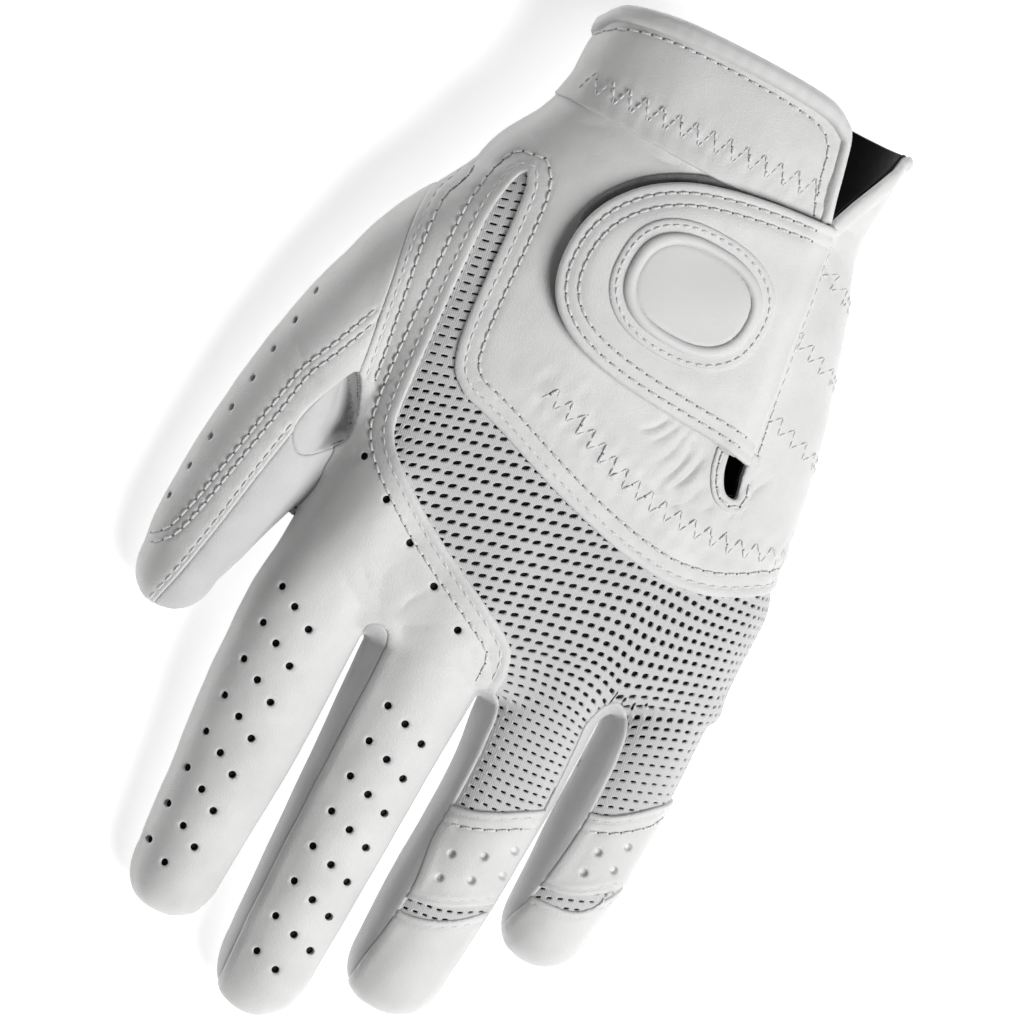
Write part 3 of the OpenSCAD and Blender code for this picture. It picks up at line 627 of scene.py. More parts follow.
class Patch:
    """A piece of the form's skin: points, triangles, and their places on the pattern plane."""

    def __init__(self, points, tris):
        self.points, self.tris = points, tris
        self.places = wrapped(points)

    def pick(self, keep):
        """The patch of some of the triangles."""
        used, tris = np.unique(self.tris[keep], return_inverse=True)
        out = Patch.__new__(Patch)
        out.points, out.places, out.tris = self.points[used], self.places[used], tris.reshape(-1, 3)
        return out

    def near(self, field, reach):
        """The patch inside a field and as far as reach round it."""
        f = field(self.points, self.places)
        return self.pick(f[self.tris].min(1) < reach)

    def refine(self, wanted):
        """Halves the edges whose middles are wanted, and splits their triangles to match."""
        e = np.sort(self.tris[:, [[0, 1], [1, 2], [2, 0]]].reshape(-1, 2), axis=1)
        edges, which = np.unique(e, axis=0, return_inverse=True)
        which = which.reshape(-1, 3)
        mid = self.points[edges].mean(1)
        mark = wanted(mid, self.places[edges].mean(1))
        fresh = settle(mid[mark], 1)
        number = np.full(len(edges), -1)
        number[mark] = len(self.points) + np.arange(mark.sum())
        m = number[which]
        on = m >= 0
        hits = on.sum(1)
        out = [self.tris[hits == 0]]
        for turn in range(3):
            t, k = np.roll(self.tris, -turn, 1), np.roll(m, -turn, 1)
            o = np.roll(on, -turn, 1)
            one = (hits == 1) & o[:, 0]
            out += [np.stack([t[one, 0], k[one, 0], t[one, 2]], 1),
                    np.stack([k[one, 0], t[one, 1], t[one, 2]], 1)]
            two = (hits == 2) & ~o[:, 2]
            out += [np.stack([t[two, 1], k[two, 1], k[two, 0]], 1),
                    np.stack([t[two, 0], k[two, 0], k[two, 1]], 1),
                    np.stack([t[two, 0], k[two, 1], t[two, 2]], 1)]
        all3 = hits == 3
        t, k = self.tris[all3], m[all3]
        out += [np.stack([t[:, 0], k[:, 0], k[:, 2]], 1), np.stack([k[:, 0], t[:, 1], k[:, 1]], 1),
                np.stack([k[:, 2], k[:, 1], t[:, 2]], 1), k]
        return Patch(np.vstack([self.points, fresh]), np.vstack(out))

    def clip(self, field):
        """Keeps what is inside a field, cutting triangles along its edge."""
        f = field(self.points, self.places)
        f = np.where(np.abs(f) < 0.02, -1e-6, f)
        inside = f < 0
        hits = inside[self.tris].sum(1)
        cut = self.tris[(hits > 0) & (hits < 3)]
        e = np.unique(np.sort(cut[:, [[0, 1], [1, 2], [2, 0]]].reshape(-1, 2), axis=1), axis=0)
        e = e[inside[e[:, 0]] != inside[e[:, 1]]]
        k = f[e[:, 0]] / (f[e[:, 0]] - f[e[:, 1]])
        fresh = self.points[e[:, 0]] * (1 - k)[:, None] + self.points[e[:, 1]] * k[:, None]
        code = e[:, 0] * len(self.points) + e[:, 1]

        def between(a, b):
            lo, hi = np.minimum(a, b), np.maximum(a, b)
            return len(self.points) + np.searchsorted(code, lo * len(self.points) + hi)

        out = [self.tris[hits == 3]]
        for turn in range(3):
            t = np.roll(self.tris, -turn, 1)
            i = inside[t]
            one = t[i[:, 0] & ~i[:, 1] & ~i[:, 2]]
            out.append(np.stack([one[:, 0], between(one[:, 0], one[:, 1]), between(one[:, 0], one[:, 2])], 1))
            two = t[i[:, 0] & i[:, 1] & ~i[:, 2]]
            bc, ca = between(two[:, 1], two[:, 2]), between(two[:, 0], two[:, 2])
            out += [np.stack([two[:, 0], two[:, 1], bc], 1), np.stack([two[:, 0], bc, ca], 1)]
        whole = Patch(np.vstack([self.points, fresh]), np.vstack(out))
        return whole.pick(np.ones(len(whole.tris), bool))


def rim_edges(tris):
    """Directed edges that only one triangle has."""
    e = tris[:, [[0, 1], [1, 2], [2, 0]]].reshape(-1, 2)
    n = tris.max() + 1
    code, back = e[:, 0] * n + e[:, 1], e[:, 1] * n + e[:, 0]
    return e[~np.isin(code, back)]


def shell(points, normals, tris, top, bottom, bulge):
    """A closed sheet between two heights over a patch, with a rounded wall round its edge."""
    n = len(points)
    rim = rim_edges(tris)
    side = np.cross(points[rim[:, 1]] - points[rim[:, 0]], normals[rim[:, 0]])
    out = np.zeros((n, 3))
    np.add.at(out, rim[:, 0], side)
    np.add.at(out, rim[:, 1], side)
    used = np.unique(rim)
    slot = np.full(n, -1)
    slot[used] = 2 * n + np.arange(len(used))
    lateral = out[used] / (np.linalg.norm(out[used], axis=1)[:, None] + 1e-9)
    top, bottom = np.broadcast_to(top, n), np.broadcast_to(bottom, n)
    middle = points[used] + bulge * lateral + ((top + bottom)[used] / 2)[:, None] * normals[used]
    verts = np.vstack([points + top[:, None] * normals, points + bottom[:, None] * normals, middle])
    a, b = rim.T
    walls = [np.stack([b, a, slot[a]], 1), np.stack([b, slot[a], slot[b]], 1),
             np.stack([slot[b], slot[a], a + n], 1), np.stack([slot[b], a + n, b + n], 1)]
    return verts, np.vstack([tris, tris[:, ::-1] + n] + walls)


def make(name, verts, faces, material, body="glove", sharp=50):
    """A mesh object in metres from points in pattern millimetres, all faces having as many corners."""
    verts = (np.asarray(verts) + SHIFT) * MM
    faces = np.asarray(faces)
    mesh = bpy.data.meshes.new(name)
    mesh.vertices.add(len(verts))
    mesh.vertices.foreach_set("co", verts.astype(np.float32).ravel())
    mesh.loops.add(faces.size)
    mesh.loops.foreach_set("vertex_index", faces.astype(np.int32).ravel())
    mesh.polygons.add(len(faces))
    mesh.polygons.foreach_set("loop_start", np.arange(len(faces), dtype=np.int32) * faces.shape[1])
    mesh.update(calc_edges=True)
    mesh.validate()
    mesh.shade_smooth()
    if sharp:
        mesh.set_sharp_from_angle(angle=math.radians(sharp))
    mesh.materials.append(material)
    piece = bpy.data.objects.new(name, mesh)
    bpy.context.scene.collection.objects.link(piece)
    if body:
        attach(piece, body)
    return piece


_cache = {}


def base():
    """The whole skin of the form, made once."""
    if "base" not in _cache:
        points, tris = iso_surface(settings().grid_step * (1))
        _cache["base"] = Patch(settle(points), tris)
    return _cache["base"]


# ---------------------------------------------------------------- relief: folds and puckers in the leather

def strokes(starts, ends, bend, depth, width, seed):
    """Folds side by side, each a path on the pattern plane with its depth and half width.

    Each start is joined to its end by an arc that bends by a share of its length."""
    rng = np.random.default_rng(seed)
    a, b = np.asarray(starts, float), np.asarray(ends, float)
    side = np.stack([-(b - a)[:, 1], (b - a)[:, 0]], 1) * (bend + rng.uniform(-0.06, 0.06, len(a)))[:, None]
    return [(np.stack([a[k], (a[k] + b[k]) / 2 + side[k], b[k]]), depth * rng.uniform(0.6, 1.2), width)
            for k in range(len(a))]


# Groups of folds: their starts, their ends, bend, depth, half width and seed
FOLD_GROUPS = (
    # beside the keyhole, and past it
    ([(24.5, 34), (26.3, 33.5), (27.8, 33), (29.2, 32.3), (30.2, 31), (22.4, 34), (20, 34)],
     [(21.6, 24), (22.6, 20), (24.3, 19.5), (25.7, 20), (27.4, 22.5), (18.6, 27.5), (15.5, 29)],
     0.07, 0.38, 0.65, 1),
    ([(40.6, 22.5), (42.6, 21), (36, 23), (32.5, 25.5)],
     [(41.4, 34), (44.4, 34.5), (32, 20.5), (28.5, 18.5)], 0.16, 0.5, 0.7, 2),
    # at the crotches on both sides of the middle finger
    ([(-16, -28), (-15.2, -25.4), (-13.2, -26), (-9, -26.4), (-7, -28)],
     [(-23, -24), (-21.5, -18.5), (-14.5, -17), (-5.5, -19), (0.5, -24)], 0.08, 0.24, 0.7, 3),
    ([(12.8, -29.4), (13.6, -28), (11.4, -30.5)], [(6.5, -24), (9.5, -20.5), (4, -27.5)], 0.08, 0.24, 0.6, 4),
    # between the gusset and the mesh, and on the thumb
    ([(-34.4, 8), (-33.2, 4), (-33, 0)], [(-31.4, 16), (-30.6, 9), (-30.4, -5)], 0.08, 0.26, 0.7, 5),
    ([(-45, 3), (-45.2, 7), (-44.5, -1)], [(-55, 8), (-54, 14), (-56, 1)], 0.1, 0.26, 0.9, 6),
    # beside the slit, over the thumb seam, and between the tab and the cuff band
    ([(31.6, 80), (32.5, 76), (33.5, 71), (31, 84)],
     [(38, 76), (39.5, 69), (41.5, 63), (36.5, 84)], 0.08, 0.3, 0.8, 7),
    ([(-31, 66), (-29, 70), (-25, 76), (-32, 60)],
     [(-38, 60), (-34, 72), (-16, 78.5), (-40, 53)], 0.08, 0.26, 1.0, 8),
    ([(22, 79.5), (16, 79.5), (8, 79), (-2, 78.5)],
     [(27, 82.4), (10, 80), (0, 79.5), (-12, 79)], 0.05, 0.3, 0.7, 9),
)
FOLDS = [fold for group in FOLD_GROUPS for fold in strokes(*group)]


def folds(q):
    """Depth of the folds at pattern places: a bell across each fold, fading at its ends."""
    out = np.zeros(len(q))
    for path, depth, width in FOLDS:
        lo, hi = path.min(0) - 4 * width, path.max(0) + 4 * width
        near = np.flatnonzero(((q > lo) & (q < hi)).all(1))
        if not len(near):
            continue
        curve = spline(path, 4)
        best, place = np.full(len(near), 1e9), np.zeros(len(near))
        for k, (a, b) in enumerate(zip(curve[:-1], curve[1:])):
            d, h = segment_distance(q[near], a, b)
            closer = d < best
            best, place = np.where(closer, d, best), np.where(closer, (k + h) / (len(curve) - 1), place)
        fade = np.sin(np.pi * np.clip(place * 0.9 + 0.1, 0, 1)) ** 0.7
        out[near] -= depth * fade * np.exp(-(best / width) ** 2)
    return out


def swell(q):
    """Slow unevenness of soft leather: a sum of waves in several directions."""
    out = np.zeros(len(q))
    for k, (length, size) in enumerate([(31, 0.16), (23, 0.13), (14, 0.08), (9.5, 0.05), (6.1, 0.03)]):
        for j in range(3):
            angle = 1.1 * k + 2.2 * j
            along_wave = q[:, 0] * math.cos(angle) + q[:, 1] * math.sin(angle)
            out += size / 3 * np.sin(along_wave * 2 * math.pi / length + 1.7 * k + j)
    return out


BACK_ZIGZAG = spline([(-4, 27), (3, 25.2), (10, 22), (20, 18.6), (30, 17.2), (42, 17.4), (51, 19.5),
                      (60, 22)])
CUFF_ZIGZAG = spline([(-27, 85), (-10, 85.4), (8, 86.6), (24.5, 88)])
SIDE_ZIGZAGS = [spline([(38, 44), (49, 41), (55, 40)], 4), spline([(33.5, 61), (45, 57), (52, 56)], 4),
                spline([(34, 75.2), (40, 72), (47, 71)], 4)]


def gathers(q):
    """Puckers across the elastics under the zigzag stitching on the back and the cuff."""
    out = np.zeros(len(q))
    for path, size, reach in ((BACK_ZIGZAG, 0.24, 4.5), (CUFF_ZIGZAG, 0.2, 3.6)):
        d = path_distance(q, path)
        out += size * np.exp(-(d / reach) ** 2) * np.sin(q[:, 0] * 2 * math.pi / 3.7
                                                         + 0.9 * np.sin(q[:, 1] * 0.7))
        out -= 1.2 * size * np.exp(-((d - reach * 0.55) / 1.1) ** 2)
    return out


def relief(q):
    """Height of everything that makes the leather uneven, but for its stitching."""
    return swell(q) + folds(q) + gathers(q)


def dents(q, rows, depth=0.2, width=0.5):
    """Depth of the grooves that the rows of stitching pull: a bell across each row."""
    out = np.zeros(len(q))
    for path in rows:
        lo, hi = path.min(0) - 2, path.max(0) + 2
        near = np.flatnonzero(((q > lo) & (q < hi)).all(1))
        if len(near):
            out[near] = np.maximum(out[near], depth * np.exp(-(path_distance(q[near], path) / width) ** 2))
    return out


def panel(name, field, material, top=0.0, thickness=0.8, lip=0.6, drop=0.5, rows=(), holes=None,
          hole_depth=None, relieved=1.0, surface=None, fine=(2.0, 0.7), body="glove", follow=False,
          turned=0.0, narrow=1.0):
    """One panel: the skin inside a field, with close points near its edge, its stitching and its folds.

    Its height is top, plus the relief, less the stitching's grooves. Within lip of the edge it turns down as
    a quarter ellipse, drop * lip * (1 - sqrt(1 - (1 - d / lip)^2)) at the distance d inside. turned is the
    height that the leather folded under along the edge adds. surface adds a height of its own. holes are
    clipped out, or sunk by hole_depth where that is given, and narrow makes them narrower across."""
    solid = field
    pierced = hole_field(holes, hole_depth is not None, narrow) if holes is not None else None
    if holes is not None and hole_depth is None:
        field = less(solid, pierced)
    patch = base().near(field, NEAR)
    for turn, reach in enumerate(fine):
        def wanted(p, q, reach=reach, turn=turn):
            keep = np.abs(solid(p, q)) < reach
            if rows:
                keep |= dents(q, rows, 1.0, 0.9 - 0.45 * turn) > 0.3
            if relieved:
                keep |= np.abs(folds(q)) > 0.06 + 0.14 * turn
            if holes is not None:
                keep |= np.abs(pierced(p, q)) < 1.4 - 0.8 * turn
            return keep
        patch = patch.refine(wanted)
    if hole_depth is not None:
        patch = patch.refine(lambda p, q: np.abs(pierced(p, q)) < 0.45)
    patch = patch.clip(field)
    q = patch.places
    inside = -solid(patch.points, q)
    k = np.clip(1 - inside / lip, 0, 1)
    height = top - drop * lip * (1 - np.sqrt(1 - k * k * 0.98)) - dents(q, rows)
    if turned:
        height += turned * (1 - smoothstep(inside, TURNED_FROM, TURNED_TO))
    if relieved:
        height += relieved * relief(q)
    if surface is not None:
        height += surface(q)
    if holes is not None:
        outside = pierced(patch.points, q)
        height -= DIMPLE * np.clip(1 - outside / DIMPLE_REACH, 0, 1) ** 2
        if hole_depth is not None:
            height -= hole_depth * smoothstep(-outside, -0.05, 0.3)
    if callable(thickness):
        thickness = thickness(q)
    bottom = height - thickness if follow else np.minimum(height - LEAST_THICKNESS, top - thickness)
    verts, faces = shell(patch.points, normals_at(patch.points), patch.tris, height, bottom, PANEL_BULGE)
    return make(name, verts, faces, material, body)


# ---------------------------------------------------------------- stitching

INSERT_EDGE = np.vstack([MESH_LOWER, STRIP_LEFT[1:], STRIP_RIGHT[1:], MESH_UPPER[1:]])
THUMB_ROW = spline([(-41.5, 25), (-45.5, 15), (-48.7, 8), (-50.2, 0), (-53, -15), (-54.9, -25), (-57, -32.5),
                    (-60, -35.5)])
ROWS = {
    "insert": [beside(INSERT_EDGE, -2.0), beside(INSERT_EDGE, -4.7)],
    "thumb seam": [beside(THUMB_SEAM[3:], -1.5), beside(THUMB_SEAM[3:], -3.4)],
    "thumb": [THUMB_ROW, beside(THUMB_ROW, -1.9)],
    "thumb split": [beside(THUMB_SPLIT, 1.1)],
    "ring band": [beside(RING_BAND_TOP, 1.3), beside(RING_BAND_TOP, 3.6), beside(RING_BAND_LOW, -1.3)],
    "ring cap": [beside(RING_CAP_TOP, 1.3)],
    "little band": [beside(LITTLE_BAND_TOP, 1.3), beside(LITTLE_BAND_TOP, 3.6),
                    beside(LITTLE_BAND_LOW, -1.3)],
    "little cap": [beside(LITTLE_CAP_TOP, 1.3)],
    "cuff": [spline([(-31.5, 92.5), (-28.6, 94.6), (-26, 96.6), (-20, 98.6), (-10, 99.8), (5, 100.2),
                     (15, 99.8), (19.5, 98.6), (21.8, 96), (23, 91.5), (24.6, 86.5), (25.7, 83.4)])],
    "keyhole": [beside(KEYHOLE, 1.5)[:-6]],
}
TAB_ROWS = [beside(TAB_EDGE, -1.9), beside(TAB_EDGE, -4.3)]
SEWN_ROW = spline([(39.3, 36), (37.7, 45), (35.9, 56), (33.6, 71), (31.9, 81)])


def row_stitches(path, pitch=None):
    """Starts and ends of the stitches along a path."""
    pitch = pitch or settings().stitch_pitch / MM
    total = lengths_along(path)[-1]
    count = max(int(total / pitch), 1)
    at = np.arange(count) * total / count
    return along(path, at + ROW_GAP / 2), along(path, at + total / count - ROW_GAP / 2)


def zigzag_stitches(path, pitch, height, per_leg=3):
    """Starts and ends of a zigzag about a path, each leg sewn as a few short stitches."""
    total = lengths_along(path)[-1]
    legs = max(int(2 * total / pitch), 2)
    at = np.arange(legs + 1) * total / legs
    way = np.gradient(along(path, at), axis=0)
    way /= np.linalg.norm(way, axis=1)[:, None]
    side = np.where(np.arange(legs + 1) % 2, 1, -1)[:, None] * height / 2
    corner = along(path, at) + side * np.stack([-way[:, 1], way[:, 0]], 1)
    starts, ends = [], []
    for k in range(per_leg):
        a = corner[:-1] + (corner[1:] - corner[:-1]) * k / per_leg
        b = corner[:-1] + (corner[1:] - corner[:-1]) * (k + 1) / per_leg
        unit = (b - a) / np.linalg.norm(b - a, axis=1)[:, None]
        starts.append(a + unit * ZIGZAG_GAP / 2)
        ends.append(b - unit * ZIGZAG_GAP / 2)
    return np.vstack(starts), np.vstack(ends)


def kept(pairs, field, inset=0.3):
    """The stitches of some rows whose two ends are both inside a field."""
    a, b = (np.vstack([p[k] for p in pairs]) for k in (0, 1))
    keep = (field(skin(a), a) < -inset) & (field(skin(b), b) < -inset)
    return [(a[keep], b[keep])]


def on_form(q):
    """Whether places of the pattern plane have skin over them."""
    return np.abs(distance(skin(q))) < ON_FORM


def sewn(name, pairs, height, body="glove", hole=NEEDLE_SHADE):
    """Stitches as small capsules that dip into the leather at both ends, and dark lenses of painted shade at
    their needle holes.

    A stitch runs from 0 to 1. Its ends lie STITCH_SINK under the leather and its middle STITCH_RISE over
    its ends, along a parabola, and its radius shrinks to STITCH_END of itself at both ends. height gives
    the leather's height."""
    radius = settings().stitch_radius / MM
    a = np.vstack([p[0] for p in pairs])
    b = np.vstack([p[1] for p in pairs])
    reached = on_form(a) & on_form(b)
    a, b = a[reached], b[reached]
    count = len(a)
    v = np.array([0, 0.12, 0.35, 0.65, 0.88, 1.0])
    q = (a[:, None] * (1 - v)[None, :, None] + b[:, None] * v[None, :, None]).reshape(-1, 2)
    p = skin(q)
    n = normals_at(p)
    arch = np.tile(1 - (2 * v - 1) ** 2, count)
    p = p + (height(q) + STITCH_RISE * arch - STITCH_SINK)[:, None] * n
    p, n = p.reshape(count, 6, 3), n.reshape(count, 6, 3)
    way = np.gradient(p, axis=1)
    way /= np.linalg.norm(way, axis=2)[:, :, None]
    side = np.cross(way, n)
    side /= np.linalg.norm(side, axis=2)[:, :, None]
    up = np.cross(side, way)
    thick = radius * (STITCH_END + (1 - STITCH_END) * np.minimum(1, 2.2 * (1 - (2 * v - 1) ** 2)))
    angle = np.arange(6) * math.pi / 3
    ring = (p[:, :, None] + thick[None, :, None, None]
            * (np.cos(angle)[None, None, :, None] * side[:, :, None]
               + np.sin(angle)[None, None, :, None] * up[:, :, None]))
    one = np.arange(36).reshape(6, 6)
    here, there = one[:-1], one[1:]
    quad = np.stack([here, np.roll(here, -1, 1), np.roll(there, -1, 1), there], 2).reshape(-1, 4)
    caps = [one[0, [0, 3, 2, 1]], one[0, [0, 5, 4, 3]], one[5, [0, 1, 2, 3]], one[5, [0, 3, 4, 5]]]
    quad = np.vstack([quad[:, ::-1], caps])
    faces = (np.arange(count)[:, None, None] * 36 + quad[None]).reshape(-1, 4)
    piece = make(name, ring.reshape(-1, 3), faces, finish("thread"), body, sharp=0)
    # Dark lenses of painted shade just past both ends of each stitch
    spots = np.vstack([a - 0.1 * (b - a), b + 0.1 * (b - a)])
    needle_holes(name + "_needle_holes", spots[on_form(spots)], height, body, hole)
    return piece


def needle_holes(name, q, height, body, radius):
    """Shallow dark lenses in the leather where the thread goes through: painted shade for the inside of the
    needle holes.
    """
    p = skin(q)
    n = normals_at(p)
    p = p + (height(q) - 0.02)[:, None] * n
    side = np.cross(n, np.array([0.0, 1.0, 0.02]))
    side /= np.linalg.norm(side, axis=1)[:, None]
    up = np.cross(n, side)
    angle = np.arange(8) * math.pi / 4
    around = np.cos(angle)[None, :, None] * side[:, None] + np.sin(angle)[None, :, None] * up[:, None]
    ring = p[:, None] + radius * around
    verts = np.concatenate([ring, (p + 0.05 * n)[:, None], (p - 0.25 * n)[:, None]], 1)
    k = np.arange(8)
    fan_up = np.stack([k, (k + 1) % 8, np.full(8, 8)], 1)
    fan_down = np.stack([(k + 1) % 8, k, np.full(8, 9)], 1)
    faces = (np.arange(len(q))[:, None, None] * 10 + np.vstack([fan_up, fan_down])[None]).reshape(-1, 3)
    return make(name, verts.reshape(-1, 3), faces, finish("painted_needle_shade"), body, sharp=0)


# ---------------------------------------------------------------- air holes

def hole_row(start, step, count):
    """Places of a row of holes."""
    return [(start[0] + k * step[0], start[1] + k * step[1]) for k in range(count)]


FINGER_HOLES = np.array(hole_row((-31.9, -32.3), (0.1, -8.2), 8) + hole_row((-27.6, -34.7), (0.2, -8.2), 8)
                        + hole_row((-22.9, -37.4), (0.1, -8.2), 7) + hole_row((-1.9, -43.4), (0.05, -8), 8)
                        + hole_row((3, -45), (0.1, -8), 8) + hole_row((7.8, -47), (0.05, -7.9), 7)
                        + hole_row((-30, -1.8), (8.3, -5.4), 5))
THUMB_HOLES = np.array(hole_row((-54, 22.6), (-0.9, -7.1), 8))
RING_HOLES = np.array([(23.6, -63.8), (29.7, -61.2), (34.7, -57.3), (23.8, -69.2), (29.8, -66.7),
                       (34.9, -62.9)])
LITTLE_HOLES = np.array([(49.8, -49.8), (54.8, -46), (49.2, -54.8), (54.5, -51.5)])


def hole_field(centres, whole=False, narrow=1.0):
    """Inside the air holes round some pattern places, on the upper side only where whole is false.

    narrow divides their width on the pattern plane, where the leather turns away from that plane."""
    def field(p, q):
        radius = settings().hole_radius / MM
        d = np.full(len(q), 1e9)
        for c in centres:
            d = np.minimum(d, np.hypot((q[:, 0] - c[0]) * narrow, q[:, 1] - c[1]))
        return d - radius if whole else np.maximum(d - radius, upper_side(p) - 6)
    return field


# ---------------------------------------------------------------- the knitted mesh

# The mesh's openings stand on a warped grid: column i runs along the hand and row j across it. Each
# control row below gives (i, s, t) places; between them the grid is spread evenly.
HAND_ROWS = {
    40: [(-33, -34.5, 63), (-31, -30.4, 63.6), (-30, -27.6, 64.4), (-28, -22, 66), (0, 40, 100),
         (14, 66, 100)],
    24: [(-33, -32.6, 33.6), (-31, -28.1, 34.4), (-30, -25.5, 35.1), (-28, -20.6, 36.6), (-21, -3, 44),
         (0, 39, 62), (14, 64, 60)],
    10: [(-33, -30.9, 5.9), (-31, -26.9, 6.9), (-30, -25.1, 7.4), (-28, -21, 8.4), (-25, -14.2, 10.3),
         (-21, -4.6, 12.8), (-16, 7.6, 15.9), (-11, 19.5, 18.8), (-6, 30, 22), (-3, 35.5, 24), (0, 39, 25.2),
         (3, 45.2, 23), (6, 50.3, 22), (10, 57.5, 22.6), (14, 64, 23)],
    0: [(-33, -39, -20.5), (-25, -19.4, -15.2), (-21, -9.7, -12.7), (-16, 2.4, -9.4), (-11, 14.5, -6),
        (-6, 26.4, -2.8), (-3, 32.9, -1.5), (0, 38.7, -1.3), (3, 44.4, -0.9), (6, 49.8, 0), (10, 57, 1.3),
        (14, 64, 2.4)],
    -5: [(-33, -40, -31), (-16, 2.2, -20.1), (-11, 14.2, -16.9), (-9, 19.1, -15.9), (-6, 26.3, -14.6),
         (-4, 30.9, -14.1), (-3, 33, -14.1), (-2, 35, -14.4), (-1, 36.9, -14.7), (0, 38.8, -14.4),
         (1, 41, -13.7), (3, 45, -12.4), (6, 51.1, -10.4), (10, 58.5, -8), (14, 66, -6)],
    -6: [(-33, -40.5, -33), (-16, 2, -22.5), (-11, 14.1, -19.2), (-9, 18.9, -18.1), (-6, 26, -16.8),
         (-4, 30.5, -16.2), (-3, 32.8, -16.3), (-2, 34.8, -16.6), (-1, 36.6, -17.3), (0, 38.6, -17.3),
         (1, 40.7, -16.4), (3, 45, -14.7), (6, 51.2, -12.5), (10, 59, -9.8), (14, 66.5, -7.8)],
}
RING_ROWS = {
    -8: [(-12, 10.5, -24.6), (-9, 18, -22.3), (-8, 20.5, -21.6), (-6, 25.2, -20.9), (-4, 29.8, -20.5),
         (-3, 32.1, -20.7), (-2, 34.3, -21.1), (-1, 36.4, -22.4), (0, 38, -24)],
    -11: [(-12, 13.2, -29), (-10, 17.6, -28), (-8, 22, -27), (-6, 26.3, -26.6), (-4, 30.5, -26.6),
          (-3, 32.5, -26.8), (-1, 36.8, -27.8), (0, 38.8, -28.5)],
    -15: [(-12, 13.8, -35.3), (-9, 20.1, -34.8), (-6, 26.4, -34.4), (-3, 32.6, -34.1), (0, 38.8, -34)],
    -23: [(-12, 14, -50.2), (-9, 20.5, -50), (-6, 27, -49.9), (-4, 31.1, -49.4), (-2, 35, -48.6),
          (0, 39, -47.6)],
    -38: [(-12, 14, -80.5), (-9, 20.5, -80), (-6, 27, -79), (-4, 31.1, -77.4), (-2, 35, -75), (0, 39, -73)],
}
LITTLE_ROWS = {
    -8: [(-1, 36, -25), (1, 40.7, -21.5), (2, 42.9, -20.2), (3, 45.1, -19.2), (6, 51.4, -16.6),
         (10, 59.3, -13.8), (14, 67, -12)],
    -11: [(0, 39.6, -28), (2, 44, -25.8), (4, 48.4, -24), (6, 52.7, -22.3), (10, 61, -19.5), (14, 69, -18)],
    -19: [(0, 41, -43), (3, 47.6, -40.4), (5, 51.8, -39), (8, 57.8, -36.6), (14, 70, -34)],
    -31: [(0, 41, -66.5), (3, 47.6, -63.8), (5, 51.8, -62.2), (8, 57.8, -59.5), (14, 70, -56)],
}


def grid_place(i, j, rows):
    """Place of a point of the mesh's grid.

    It runs along each control row, then evenly between the two rows about it.
    """
    at = np.array(sorted(rows))
    table = []
    for k in at:
        row = np.array(rows[k], float).T
        step = (row[1:, -1] - row[1:, -2]) / (row[0, -1] - row[0, -2])
        table.append([np.interp(i, row[0], row[n]) + np.maximum(i - row[0, -1], 0) * step[n - 1]
                      for n in (1, 2)])
    table = np.array(table)
    upper = np.clip(np.searchsorted(at, j), 1, len(at) - 1)
    k = (j - at[upper - 1]) / (at[upper] - at[upper - 1])
    n = np.arange(len(i))
    return np.stack([table[upper - 1, a, n] * (1 - k) + table[upper, a, n] * k for a in (0, 1)], 1)


